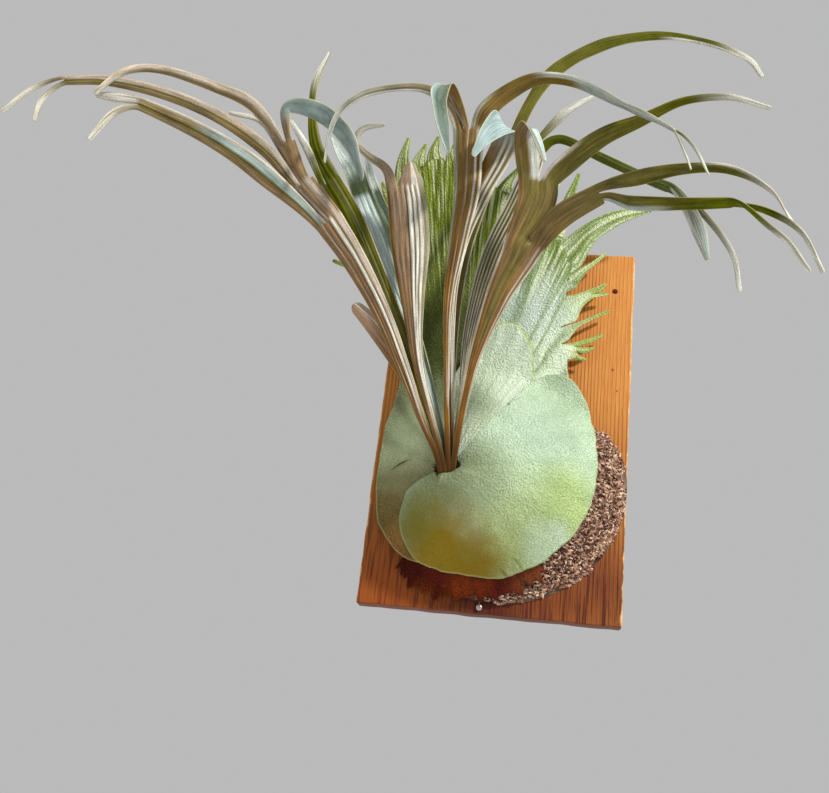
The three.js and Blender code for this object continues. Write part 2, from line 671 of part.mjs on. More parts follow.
// The growing tip: a stub with a slanted face that the stipes stand on, trimmed to sit just clear of the
// root ball.
function budGeometry(rootBall) {
  const { radius, tip } = bud;
  const profile = [[0, -62], [0.8, -62], [0.95, -76], [1, -82], [0.98, -88], [0.85, -95], [0, tip]];
  const outline = profile.map(([r, y]) => new THREE.Vector2(r * radius, y));
  const stub = weld(new THREE.LatheGeometry(outline.reverse(), 20).translate(bud.x, 0, bud.z));
  const normal = new THREE.Vector3(0, 1, -budFace.slope).normalize();
  const offset = normal.dot(new THREE.Vector3(0, budFace.y, bud.z));
  const trimmed = solidFrom(stub).trimByPlane(normal.toArray(), offset);
  return geometryFrom(trimmed.subtract(rootBall.translate([0, -bud.clearance, 0])));
}

// Shared points for a lathe, a torus or an extrusion, whose seams and poles repeat theirs.
function weld(geometry) {
  const keys = new Map();
  const positions = [];
  const source = geometry.getAttribute("position");
  const placeOf = (i) => {
    const point = [source.getX(i), source.getY(i), source.getZ(i)];
    const key = point.map((value) => Math.round(value * 1000)).join(" ");
    if (!keys.has(key)) {
      keys.set(key, positions.length / 3);
      positions.push(...point);
    }
    return keys.get(key);
  };
  const index = [];
  const corner = (i) => (geometry.index ? geometry.index.getX(i) : i);
  const corners = geometry.index ? geometry.index.count : source.count;
  for (let i = 0; i < corners; i += 3) {
    const [a, b, c] = [0, 1, 2].map((k) => placeOf(corner(i + k)));
    if (a !== b && b !== c && c !== a) index.push(a, b, c);
  }
  const welded = new THREE.BufferGeometry();
  welded.setAttribute("position", new THREE.Float32BufferAttribute(positions, 3));
  welded.setIndex(index);
  return welded;
}

const group = new THREE.Group();

function addPart(name, geometry, color, roughness, metalness = 0) {
  const mesh = new THREE.Mesh(geometry, new THREE.MeshStandardMaterial({ color, roughness, metalness }));
  mesh.name = name;
  group.add(mesh);
}

const rootBall = ballSolid();
addPart("board", boardGeometry(), "#b4642a", 0.55);
addPart("root_ball", geometryFrom(rootBall), "#6d4c35", 0.95);
addPart("screw_lower", screwGeometry(lowerScrew), "#9a958c", 0.35, 0.9);
addPart("screw_upper", screwGeometry(upperScrew), "#9a958c", 0.35, 0.9);
addPart("tie_line", tieGeometry(), "#5d6a5a", 0.4);
addPart("growing_bud", budGeometry(rootBall), "#7a5a3c", 0.9);
addPart("shield_papery_base", shieldPaperyBase(), "#5a2c1c", 0.9);
addPart("shield_left", shieldLeft(), "#8b8f6c", 0.85);
addPart("shield_crown", shieldCrown(), "#a9c4a0", 0.85);
addPart("shield_middle", shieldMiddle(), "#b0cc9f", 0.85);
addPart("shield_front", shieldFront(), "#b7d29f", 0.85);
addPart("frond_left_long", frondLeftLong(), "#a98a66", 0.8);
addPart("frond_left_olive", frondLeftOlive(), "#6c6a34", 0.8);
addPart("frond_left_blue", frondLeftBlue(), "#7f958f", 0.75);
addPart("frond_centre_wide", frondCentreWide(), "#b59a80", 0.8);
addPart("frond_centre_tall", frondCentreTall(), "#8f7350", 0.8);
addPart("frond_centre_blue", frondCentreBlue(), "#8aa09a", 0.75);
addPart("frond_right_main", frondRightMain(), "#85673c", 0.8);
addPart("frond_back_tall", frondBackTall(), "#7b7a35", 0.8);
addPart("frond_back_low", frondBackLow(), "#7c8f5a", 0.8);
addPart("frond_young_left", frondYoungLeft(), "#b3987a", 0.85);

export default group;
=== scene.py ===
import math
import random

import bmesh
import bpy
from mathutils import Matrix, Vector, noise


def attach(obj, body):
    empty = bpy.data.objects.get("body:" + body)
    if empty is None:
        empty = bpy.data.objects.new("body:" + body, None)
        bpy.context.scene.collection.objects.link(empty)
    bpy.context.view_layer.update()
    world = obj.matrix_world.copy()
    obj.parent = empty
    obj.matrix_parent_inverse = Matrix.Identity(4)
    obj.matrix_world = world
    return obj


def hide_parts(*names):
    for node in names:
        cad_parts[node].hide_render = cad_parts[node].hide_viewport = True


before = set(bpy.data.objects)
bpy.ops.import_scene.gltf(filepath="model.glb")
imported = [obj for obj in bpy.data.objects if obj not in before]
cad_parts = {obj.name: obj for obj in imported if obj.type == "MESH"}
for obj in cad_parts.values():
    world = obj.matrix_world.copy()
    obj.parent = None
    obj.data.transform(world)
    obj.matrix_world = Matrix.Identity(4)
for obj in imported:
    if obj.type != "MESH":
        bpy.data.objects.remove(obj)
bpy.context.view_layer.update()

# Shapes are worked out in millimetres and brought to metres once, and spots are given in millimetres too.
# Other measures in materials, and those of the camera and the lights, are in metres.
mm = 0.001

# Leading sizes in millimetres and degrees, most of them as in the solids
board = {"width": 240, "height": 375, "thickness": 18, "edge": 1.2, "wander": 0.7, "ringStep": 3.6}
hangingHole = {"radius": 3, "x": 101, "z": 146}
pilotHoles = [(-7, -181.5), (-7, 64)]
ball = {"x": 3, "z": -60, "radius": 117, "rise": 62, "lip": 2.5, "roundness": 1.1, "blend": 10}
shoulder = {"angle": 53, "spread": 22, "inset": 34, "drop": 0.8}
bud = {"x": -41, "z": -76, "radius": 11.5, "faceY": -89.6, "slope": 0.42}
stipe = {"width": 3.8, "lean": 20, "above": 1.7, "gather": 0.72}
wall = {"thickest": 2.4, "bladeTip": 1.1, "fade": 55, "shield": 1.4, "papery": 1.1}
tip = {"narrowest": 2.5, "broadFrom": 20, "reach": 0.62, "broadReach": 0.36, "steps": 4, "turn": 84,
       "blunt": 0.3}


# Small helpers

def mix(a, b, share):
    return a + (b - a) * share


def smoothStep(value, low, high):
    share = min(1, max(0, (value - low) / (high - low)))
    return share * share * (3 - 2 * share)


def hump(distance, width):
    # 1 at no distance, falling away over the width
    return math.exp(-((distance / width) ** 2))


def wander(x, y, z, size):
    return noise.noise(Vector((x, y, z)) / size)


def fromScreen(red, green, blue):
    # a colour as seen on screen, 0 to 255, to the linear values that shaders use
    shares = [c / 255 for c in (red, green, blue)]
    return tuple(c / 12.92 if c < 0.04 else ((c + 0.055) / 1.055) ** 2.4 for c in shares) + (1,)


# Node helpers

class Wire:
    # what comes out of a shader node, so that sums and products of it can be written as such
    def __init__(self, socket):
        self.socket = socket

    def __add__(self, other):
        return maths("ADD", self, other)

    def __sub__(self, other):
        return maths("SUBTRACT", self, other)

    def __rsub__(self, other):
        return maths("SUBTRACT", other, self)

    def __mul__(self, other):
        return maths("MULTIPLY", self, other)

    def __truediv__(self, other):
        return maths("DIVIDE", self, other)

    def __rtruediv__(self, other):
        return maths("DIVIDE", other, self)


def put(socket, value):
    if isinstance(value, Wire):
        socket.id_data.links.new(value.socket, socket)
    else:
        socket.default_value = value


def addNode(kind, inputs, output=0, tree=None, **settings):
    # a node with no tree given goes where its inputs come from
    tree = tree or next(value.socket.id_data for value in inputs.values() if isinstance(value, Wire))
    made = tree.nodes.new(kind)
    for key, value in settings.items():
        setattr(made, key, value)
    for key, value in inputs.items():
        put(made.inputs[key], value)
    return Wire(made.outputs[output])


def maths(operation, *values, clamp=False):
    return addNode("ShaderNodeMath", dict(enumerate(values)), operation=operation, use_clamp=clamp)


def vectorMaths(operation, a, b, output):
    return addNode("ShaderNodeVectorMath", {0: a, 1: b}, output, operation=operation)


def blend(factor, first, second):
    # a colour of three numbers is as seen on screen, one of four is linear
    first, second = (fromScreen(*c) if isinstance(c, tuple) and len(c) == 3 else c for c in (first, second))
    inputs = {0: factor, 6: first, 7: second}
    return addNode("ShaderNodeMix", inputs, 2, data_type="RGBA", clamp_factor=True)


def rangeOf(value, low, high, newLow=0, newHigh=1, smooth=False):
    inputs = {"Value": value, "From Min": low, "From Max": high, "To Min": newLow, "To Max": newHigh}
    kind = "SMOOTHSTEP" if smooth else "LINEAR"
    return addNode("ShaderNodeMapRange", inputs, interpolation_type=kind, clamp=True)


def noiseOf(vector, scale, detail=3, roughness=0.55):
    inputs = {"Vector": vector, "Scale": scale, "Detail": detail, "Roughness": roughness}
    return addNode("ShaderNodeTexNoise", inputs)


def stretched(vector, along):
    # shrinks the z measure, so that a texture runs out long up the board or a chip
    return addNode("ShaderNodeMapping", {"Vector": vector, "Scale": (1, 1, along)})


def joined(x, y):
    return addNode("ShaderNodeCombineXYZ", {"X": x, "Y": y})


def allOf(first):
    # every output of the node that the first one belongs to
    return [Wire(part) for part in first.socket.node.outputs]


def split(vector):
    return allOf(addNode("ShaderNodeSeparateXYZ", {0: vector}))


def attributeOf(place, name):
    return split(addNode("ShaderNodeAttribute", {}, "Vector", place.socket.id_data, attribute_name=name))


def newGroup(name, inputs, outputs):
    # an input with no value is a vector
    group = bpy.data.node_groups.new(name, "ShaderNodeTree")
    for label, value in inputs.items():
        kind = "NodeSocketVector" if value is None else "NodeSocketFloat"
        socket = group.interface.new_socket(label, in_out="INPUT", socket_type=kind)
        if value is not None:
            socket.default_value = value
    for label in outputs:
        group.interface.new_socket(label, in_out="OUTPUT", socket_type="NodeSocketFloat")
    given = group.nodes.new("NodeGroupInput").outputs
    return group, {label: Wire(given[label]) for label in inputs}, group.nodes.new("NodeGroupOutput").inputs


def useGroup(group, inputs):
    return allOf(addNode("ShaderNodeGroup", inputs, node_tree=group))


def newMaterial(name):
    material = bpy.data.materials.new(name)
    material.use_nodes = True
    return material, addNode("ShaderNodeTexCoord", {}, "Object", material.node_tree)


def setShader(material, colour, roughness, height=None, distance=0.001, strength=1, **fixed):
    shader = material.node_tree.nodes["Principled BSDF"].inputs
    put(shader["Base Color"], colour)
    put(shader["Roughness"], roughness)
    if height is not None:
        inputs = {"Height": height, "Distance": distance, "Strength": strength}
        put(shader["Normal"], addNode("ShaderNodeBump", inputs))
    for key, value in fixed.items():
        put(shader[key.replace("_", " ")], value)
    return material


# Shared effects

def makeFeltGroup():
    # the dusting of tiny star hairs: a mask of pale specks and their height
    group, given, out = newGroup("feltSpeckle", {"Vector": None, "Size": 1, "Cover": 0.5}, ["Mask", "Height"])
    scale = 900 / given["Size"]
    cells = addNode("ShaderNodeTexVoronoi", {"Vector": given["Vector"], "Scale": scale}, "Distance")
    specks = rangeOf(noiseOf(given["Vector"], scale, 2, 0.7) - cells * 0.35, 0.18, 0.6)
    amount = given["Cover"] + (noiseOf(given["Vector"], 45, 3, 0.6) - 0.5) * 0.5
    put(out["Mask"], rangeOf(specks + (amount - 0.5), 0.15, 0.85, smooth=True))
    put(out["Height"], specks)
    return group


def makeSpotGroup():
    # a soft-edged patch round a place on the object
    group, given, out = newGroup("colourSpot", {
        "Vector": None, "Centre": None, "Radius": 0.03, "Softness": 0.5, "Raggedness": 0.3}, ["Mask"])
    flat = vectorMaths("MULTIPLY", given["Vector"], (1, 0, 1), "Vector")
    away = vectorMaths("DISTANCE", flat, given["Centre"], "Value") / given["Radius"]
    away = away + (noiseOf(given["Vector"], 60, 4, 0.6) - 0.5) * given["Raggedness"]
    put(out["Mask"], rangeOf(away, 1 - given["Softness"], given["Softness"] + 1, 1, 0))
    return group


def makeStreakGroup():
    # fine streaks that run along a blade, from its across and along measures
    group, given, out = newGroup("bladeStreaks", {
        "Across": 0, "Along": 0, "Count": 40, "Length": 0.05}, ["Soft", "Veins"])
    place = joined(given["Across"] * given["Count"], given["Along"] / given["Length"])
    put(out["Soft"], noiseOf(place, 1, 4, 0.6))
    turns = given["Across"] * (given["Count"] * 3.1) + noiseOf(place, 0.35, 2) * 5
    wave = maths("MULTIPLY_ADD", maths("SINE", turns), 0.5, 0.5)
    put(out["Veins"], maths("POWER", wave, 3))
    return group


feltSpeckle = makeFeltGroup()
colourSpot = makeSpotGroup()
bladeStreaks = makeStreakGroup()


# Materials of the blades

def growthInputs(place, look, streaks, length):
    # what blades and shields have in common: their own measures, streaks and felt
    across, along, margin = attributeOf(place, "blade")
    inputs = {"Across": across, "Along": along, "Count": streaks, "Length": length}
    soft, veins = useGroup(bladeStreaks, inputs)
    mask, specks = useGroup(feltSpeckle, {"Vector": place, "Size": look["hairSize"], "Cover": look["cover"]})
    return across, along, margin, soft, veins, mask, specks


def frondMaterial(name, look):
    material, place = newMaterial(name)
    across, along, margin, soft, veins, mask, specks = growthInputs(place, look, look["streaks"], 0.035)
    felt, green, blue = attributeOf(place, "tone")
    shade = rangeOf(soft * 0.6 + noiseOf(place, 38, 4, 0.6) * 0.4, 0.3, 0.7)
    colour = blend(shade, look["dark"], look["base"])
    colour = blend(green, colour, blend(shade, look["greenDark"], look["green"]))
    colour = blend(blue, colour, blend(shade, look["blueDark"], look["blue"]))
    colour = blend(veins * look["veins"], colour, look["vein"])
    colour = blend(mask * look["dusting"], colour, look["felt"])
    worn = (soft - 0.5) * 0.9 + (mask - 0.5) * 0.5
    cover = maths("MULTIPLY", rangeOf(felt, 0.05, 1), worn + 1, clamp=True)
    colour = blend(cover, colour, blend(rangeOf(soft, 0.35, 0.65), look["feltShade"], look["felt"]))
    rim = rangeOf(margin, 0.0002, 0.0009, look["rim"], 0, smooth=True)
    # the foot colour darkens each blade towards the bud: painted shade where the blades crowd under the
    # shield's lip
    foot = rangeOf(along, 0.01, 0.06, 0.75, 0, smooth=True)
    colour = blend(foot, blend(rim, colour, look["rimColour"]), look["foot"])
    height = specks * 0.35 + (soft * 0.6 + veins * 0.5)
    roughness = rangeOf(cover, 0, 1, look["roughness"], 0.85)
    return setShader(material, colour, roughness, height, 0.00022, 0.8, Specular_IOR_Level=0.05)


frondUnderside = {
    "base": (160, 106, 38), "dark": (80, 46, 10), "green": (108, 114, 0), "greenDark": (40, 48, 0),
    "blue": (176, 200, 196), "blueDark": (62, 82, 82), "vein": (42, 28, 8), "veins": 0.2,
    "felt": (250, 253, 248), "feltShade": (186, 188, 174), "rim": 0.35, "rimColour": (206, 196, 140),
    "foot": (52, 34, 18), "streaks": 30, "hairSize": 0.8, "cover": 0.45, "dusting": 0.012, "roughness": 0.6,
}
frondUpperSide = {
    "base": (88, 104, 86), "dark": (44, 58, 48), "green": (108, 126, 16), "greenDark": (38, 54, 2),
    "blue": (202, 226, 228), "blueDark": (88, 114, 116), "vein": (52, 70, 44), "veins": 0.25,
    "felt": (244, 252, 248), "feltShade": (166, 186, 180), "rim": 0.45, "rimColour": (226, 228, 196),
    "foot": (46, 44, 26), "streaks": 30, "hairSize": 0.9, "cover": 0.5, "dusting": 0.1, "roughness": 0.5,
}
undersideMaterial = frondMaterial("frondUnderside", frondUnderside)
upperSideMaterial = frondMaterial("frondUpperSide", frondUpperSide)


def spot(x, z, radius, colour, strength, soft=0.6, ragged=0.5):
    return x, z, radius, colour, strength, soft, ragged


def laySpots(place, colour, spots):
    for x, z, radius, tint, strength, soft, ragged in spots:
        inputs = {"Vector": place, "Centre": (x * mm, 0, z * mm), "Radius": radius * mm, "Softness": soft,
                  "Raggedness": ragged}
        colour = blend(useGroup(colourSpot, inputs)[0] * strength, colour, tint)
    return colour


def crease(start, end, bend, count, radius, colour, strength):
    # a bent line of small spots that thins out to its ends
    line = []
    for k in range(count):
        arch = math.sin(math.pi * (k + 0.5) / count)
        x, z = Vector(start).lerp(Vector(end), k / (count - 1))
        line.append(spot(x, z + bend * arch, radius * (0.35 + 0.65 * arch), colour, strength, 0.7, 1.2))
    return line


def shieldMaterial(name, look):
    material, place = newMaterial(name)
    across, along, margin, soft, veins, mask, specks = growthInputs(place, look, look["veinCount"], 0.05)
    onLobe = attributeOf(place, "tone")[1]
    colour = blend(rangeOf(noiseOf(place, 26, 4), 0.3, 0.7), look["dark"], look["base"])
    colour = laySpots(place, colour, look["spots"])
    # forked veins that fan out from the bud
    shown = rangeOf(along, 0.02, 0.12, 0.2 * look["veins"], look["veins"])
    colour = blend(veins * shown, colour, look["vein"])
    colour = blend(mask * look["dusting"], colour, look["felt"])
    # darker where the felt specks are low: darker bare tissue, and painted shade in the hollows between the
    # specks
    colour = blend(rangeOf(specks, 0, 0.35, look["pitTintAndShadeAmount"], 0), colour, look["pitTintAndShade"])
    inside = rangeOf(margin, 0.0014, 0.0034) * rangeOf(soft, 0.36, 0.56, 0.15, 0.95)
    colour = blend(onLobe * 0.95, colour, blend(inside, look["lobe"], look["lobeFelt"]))
    if "stripes" in look:
        stripe = noiseOf(joined(across * look["stripeCount"], along * 16), 1, 2, 0.5)
        high = rangeOf(split(place)[2], *look["stripes"])
        colour = blend(rangeOf(stripe, 0.5, 0.4) * (high * 0.7), colour, look["vein"])
        colour = blend(rangeOf(stripe, 0.52, 0.6) * (high * 0.9), colour, look["lobeFelt"])
    colour = laySpots(place, colour, look.get("stainsShadeAndLight", []))
    rim = rangeOf(margin, 0.0004, 0.0018, look["rim"], 0, smooth=True)
    colour = blend(rim, colour, look["rimColour"])
    dents = rangeOf(noiseOf(place, 520, 2, 0.6), 0.3, 0.7, smooth=True)
    height = maths("MULTIPLY_ADD", veins, 0.35, dents + specks * 0.45)
    height = maths("MULTIPLY_ADD", noiseOf(place, 90, 3, 0.5), 2.2, height)
    return setShader(material, colour, look["roughness"], height, 0.0012, 1, Specular_IOR_Level=0.16)


# Finishing a piece

def vertsIn(geometry):
    return [item for item in geometry if isinstance(item, bmesh.types.BMVert)]


def finishPiece(bm, name, node, materials, smooth=True):
    # brings the mesh to metres and makes the piece, which rides on the part's one body
    for face in bm.faces:
        face.smooth = smooth
    bmesh.ops.scale(bm, vec=(mm, mm, mm), verts=bm.verts)
    mesh = bpy.data.meshes.new(name)
    bm.to_mesh(mesh)
    bm.free()
    for material in materials:
        mesh.materials.append(material)
    piece = bpy.data.objects.new(name, mesh)
    bpy.context.scene.collection.objects.link(piece)
    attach(piece, "root")
    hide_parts(node)
    print("made", name, len(mesh.vertices))
    return piece


def finishSheet(sheet, name, node, materials, subdivisions, upward):
    # one closed piece from the sheet: first material on the facing side, second on the other
    bm = sheet["bm"]
    bmesh.ops.recalc_face_normals(bm, faces=bm.faces)
    bm.faces.ensure_lookup_table()
    if bm.faces[0].normal.dot(upward) < 0:
        bmesh.ops.reverse_faces(bm, faces=bm.faces)
    piece = finishPiece(bm, name, node, materials)
    piece.vertex_groups.new(name="thickness")
    thick = piece.modifiers.new("wall", "SOLIDIFY")
    thick.thickness = wall["thickest"] * mm
    thick.offset = 0
    thick.vertex_group = "thickness"
    thick.material_offset = 1
    thick.material_offset_rim = 0
    if subdivisions:
        smooth = piece.modifiers.new("smooth", "SUBSURF")
        smooth.levels = smooth.render_levels = subdivisions


# Growing a blade

def curvePlace(points, t):
    # a point and its direction on a smooth curve through the points, t from 0 to 1
    last = len(points) - 1
    i = min(int(last * t), last - 1)
    w = last * t - i
    p1, p2 = points[i], points[i + 1]
    p0 = points[i - 1] if i > 0 else p1 * 2 - p2
    p3 = points[i + 2] if i + 2 <= last else p2 * 2 - p1
    a, b = (p2 - p0) * 0.5, (p3 - p1) * 0.5
    place = (p1 * (2 * w**3 - 3 * w**2 + 1) + a * (w**3 - 2 * w**2 + w)
             + p2 * (3 * w**2 - 2 * w**3) + b * (w**3 - w**2))
    run = (p1 * (6 * w**2 - 6 * w) + a * (3 * w**2 - 4 * w + 1)
           + p2 * (6 * w - 6 * w**2) + b * (3 * w**2 - 2 * w))
    return place, run


def newSheet(seed):
    bm = bmesh.new()
    layers = bm.verts.layers
    return {"bm": bm, "seed": seed, "blade": layers.float_vector.new("blade"),
            "tone": layers.float_vector.new("tone"), "weight": layers.deform.verify()}


def extrudeRow(bm, row):
    # pulls one new row of points out of the last one, in the same order
    edges = [bm.edges.get(pair) for pair in zip(row, row[1:])]
    fresh = set(vertsIn(bmesh.ops.extrude_edge_only(bm, edges=edges)["geom"]))
    return [next(e.other_vert(v) for e in v.link_edges if e.other_vert(v) in fresh) for v in row]


# A branch is a path of stations (x, y, z, width and roll in degrees), with its tone, bands and forks. A fork
# takes a share of the columns and goes on as a branch, and one without a path ends there. A tone is white
# felt, green and blue, each 0 to 1. A band lays its tone on part of the width, from -1 to 1 across, and may
# lift the surface. Along is how far from the blade's foot it starts and ends.

def fork(share, path=None, **more):
    return {"share": share, "path": path, **more}


def band(low, high, tone, lift=0, along=(-1e3, 1e4)):
    return low, high, tone, lift, along


def squared(facing, tangent):
    # the facing without what runs along the tangent
    return (facing - tangent * facing.dot(tangent)).normalized()


def reachOf(branch, start):
    # the length from the start to the farthest tip
    stops = [start] + [Vector(station[:3]) for station in branch["path"]]
    own = sum((b - a).length for a, b in zip(stops, stops[1:]))
    return own + max((reachOf(f, stops[-1]) for f in branch.get("forks", []) if f["path"]), default=0)


def bandShare(low, high, along, s, travelled):
    # how fully a band covers a place
    soft = min(0.1, (high - low) * 0.45)
    share = smoothStep(s, low - soft, low + soft) * (1 - smoothStep(s, high - soft, high + soft))
    start, end = along
    share *= smoothStep(travelled, 15, 85) * smoothStep(travelled, start - 12, start + 12)
    return share * (1 - smoothStep(travelled, end - 12, end + 12))


def placeRow(sheet, row, state):
    # sets a row across the blade: a shallow gutter with ribs, edges that wave, and what the material reads
    style, tangent = state["style"], state["tangent"]
    turned = Matrix.Rotation(math.radians(state["roll"]), 3, tangent) @ state["facing"]
    side = tangent.cross(turned)
    width, cup, travelled = state["width"], state["cup"], state["travelled"]
    felt, green, blue = state["tone"]
    tipFelt = state["tipFelt"] * (1 - smoothStep(state["remaining"], 12, 66))
    for j, vert in enumerate(row):
        s = -1 + 2 * j / (len(row) - 1)
        angle = s * cup
        across = width / 2 * math.sin(angle) / cup
        back = width / 2 * (1 - math.cos(angle)) / cup
        column = (state["first"] + j) / style["columns"]
        fade = smoothStep(travelled, 10, 60) * smoothStep(state["remaining"], 5, 60) * (1 - abs(s) ** 3)
        rib = style["rib"] * fade * math.cos(2 * math.pi * column * style["ribs"]) * min(1, width / 16)
        wave = style["wave"] * min(1, width / 12) * abs(s) ** 3
        wave *= math.sin(travelled / style["waveLength"] + 2.1 * math.copysign(1, s) + sheet["seed"])
        lump = 0.35 * min(1, width / 10) * wander(column * 40, travelled, sheet["seed"] * 31, 14)
        toned = Vector((felt + tipFelt * (1 - felt), green * (1 - 0.6 * tipFelt), blue))
        lift = 0
        for low, high, tone, bandLift, along in state["bands"]:
            share = bandShare(low, high, along, s, travelled)
            toned = toned.lerp(Vector(tone), share)
            lift += share * bandLift * fade
        vert.co = state["centre"] + side * across + turned * (rib + wave + lump + lift - back)
        vert[sheet["blade"]] = (column, travelled * mm, (1 - abs(s)) * width / 2 * mm)
        vert[sheet["tone"]] = toned
        thick = wall["bladeTip"]
        if style["taper"]:
            thick = mix(thick, wall["thickest"], math.exp(-travelled / wall["fade"]))
        vert[sheet["weight"]][0] = thick / wall["thickest"]


def growBranch(sheet, root, branch):
    state = {**root, "bands": branch.get("bands", []), "tipFelt": branch.get("tipFelt", root["tipFelt"])}
    row = root["row"]
    stops = [Vector(station[:3]) for station in branch["path"]]
    before = root["centre"] - root["tangent"] * (stops[0] - root["centre"]).length
    points = [before, root["centre"]] + stops
    start = Vector((root["width"], root["roll"]))
    sizes = [start, start] + [Vector((station[3], (list(station) + [0])[4])) for station in branch["path"]]
    toneFrom, toneTo = Vector(root["tone"]), Vector(branch.get("tone", root["tone"]))
    ahead = reachOf(branch, root["centre"])
    total = sum((b - a).length for a, b in zip(points[1:], points[2:]))
    done = 0
    for i in range(1, len(points) - 1):
        steps = max(2, round((points[i + 1] - points[i]).length / state["style"]["step"]))
        for k in range(1, steps + 1):
            t = (i + k / steps) / (len(points) - 1)
            place, run = curvePlace(points, t)
            width, roll = curvePlace(sizes, t)[0]
            moved = (place - state["centre"]).length
            done += moved
            tangent = run.normalized()
            state.update(centre=place, tangent=tangent, facing=squared(state["facing"], tangent),
                         width=max(tip["narrowest"], width), roll=roll, remaining=max(0, ahead - done),
                         travelled=state["travelled"] + moved,
                         tone=toneFrom.lerp(toneTo, min(1, done / total)))
            row = extrudeRow(sheet["bm"], row)
            placeRow(sheet, row, state)
    state["row"] = row
    if branch.get("forks"):
        growForks(sheet, state, branch["forks"])
    else:
        roundTip(sheet, state)


def growForks(sheet, state, forks):
    # each fork takes its share of the columns, and one bare column between forks rounds the crotch
    whole = len(state["row"]) - 1
    fine = whole // sum(each["share"] for each in forks)
    first = 0
    for n, each in enumerate(forks):
        count = each["share"] * fine
        low = first + (1 if n > 0 and count > 3 else 0)
        high = first + count
        row = state["row"][low:high + 1]
        first += count
        if each["path"]:
            centre, width = (row[0].co + row[-1].co) / 2, state["width"] * (high - low) / whole
            start = dict(state, row=row, centre=centre, width=width, first=state["first"] + low)
            growBranch(sheet, start, each)


def roundTip(sheet, state):
    width, centre, row = state["width"], state["centre"], state["row"]
    reach = width * (tip["reach"] if width < tip["broadFrom"] else tip["broadReach"])
    for k in range(1, tip["steps"] + 1):
        turn = math.radians(tip["turn"] * k / tip["steps"])
        centreNow = centre + state["tangent"] * reach * math.sin(turn)
        state.update(centre=centreNow, width=width * math.cos(turn) + tip["blunt"], remaining=0)
        row = extrudeRow(sheet["bm"], row)
        placeRow(sheet, row, state)


def growFrond(name, node, frond):
    sheet = newSheet(frond["seed"])
    bm = sheet["bm"]
    style = {"tipFelt": 0.92, "rib": 0.35, "ribs": 5, "wave": 0.7, "waveLength": 9, "step": 5, "taper": True,
             **frond.get("style", {}), "columns": frond["columns"] * frond["fine"]}
    across, up = frond["root"]
    y = bud["faceY"] + up * bud["slope"] - stipe["above"]
    foot = Vector((bud["x"] + stipe["gather"] * across, y, bud["z"] + up))
    lean = math.radians(stipe["lean"])
    tangent = Vector((0, -math.sin(lean), math.cos(lean)))
    facing = squared(Vector((0, 1 if frond.get("upperSideOut") else -1, 0)), tangent)
    first = bmesh.ops.create_grid(bm, x_segments=style["columns"], y_segments=1, size=1)["verts"]
    bmesh.ops.delete(bm, geom=[v for v in first if v.co.y > 0], context="VERTS")
    state = {
        "row": sorted(bm.verts, key=lambda v: v.co.x), "centre": foot, "tangent": tangent, "facing": facing,
        "width": stipe["width"], "roll": 0, "travelled": 0, "remaining": 999, "first": 0, "style": style,
        "cup": 0.55, "tone": frond.get("toneAtRoot", (0, 0, 0)), "bands": frond["trunk"].get("bands", []),
        "tipFelt": style["tipFelt"],
    }
    placeRow(sheet, state["row"], state)
    growBranch(sheet, state, frond["trunk"])
    finishSheet(sheet, name, node, [undersideMaterial, upperSideMaterial], 1, facing)


# Shield fronds, each a layer with its own height over the board. On a shield, u runs along the rim and f from
# the bud to the rim, both from 0 to 1. Rims are rows of x and z, and every lobe stands on its share of one.

def ballHeight(x, z):
    reach = math.hypot(x - ball["x"], z - ball["z"]) / ball["radius"]
    return ball["lip"] + ball["rise"] * max(0, 1 - reach * reach) ** ball["roundness"]


def overBall(x, z, lean):
    # the ball's height and a leaning sheet's, blended
    height = ballHeight(x, z)
    return (height + lean + math.hypot(height - lean, ball["blend"])) / 2


def fromBud(x, z):
    return math.hypot(x - bud["x"], z - bud["z"])


def leftLean(x, z):
    return 18 * (max(0, fromBud(x, z) - 60) / 60) ** 0.9


def crownLean(x, z):
    return 0.15 * max(0, fromBud(x, z) - 90)


def middleLean(x, z):
    return 0.44 * max(0, fromBud(x, z) - 60)


def leftHeight(x, z, f, u):
    return overBall(x, z, leftLean(x, z)) + mix(2.9, 0.9, smoothStep(f, 0.6, 1) * smoothStep(u, 0.08, 0.2))


def crownHeight(x, z, f, u):
    return overBall(x, z, crownLean(x, z)) + mix(2.9, 0.9, smoothStep(f, 0.6, 1))


def middleHeight(x, z, f, u):
    return overBall(x, z, middleLean(x, z)) + 6


def frontHeight(x, z, f, u):
    onTop = 1 - smoothStep(u, 0.08, 0.24)
    beside = mix(crownLean(x, z), leftLean(x, z), smoothStep(u, 0.5, 0.8))
    swollen = smoothStep(u, 0.1, 0.5) * (1 - 0.5 * smoothStep(u, 0.85, 1))
    puff = 11 * math.sin(math.pi * (0.3 + 0.7 * f)) * swollen
    clear = mix(9, 5.6, smoothStep(f, 0.75, 1) * (1 - onTop)) + 1.4 * f * onTop
    collar = 7 * hump(fromBud(x, z) - 17, 12) * smoothStep(u, 0.3, 0.5)
    return overBall(x, z, mix(beside, middleLean(x, z), onTop)) + puff + clear + collar


def paperyHeight(x, z, f, u):
    return ballHeight(x, z) + mix(1.5, 2.9, smoothStep(x, -40, -24))


def noRelief(x, z, f, u):
    return 0


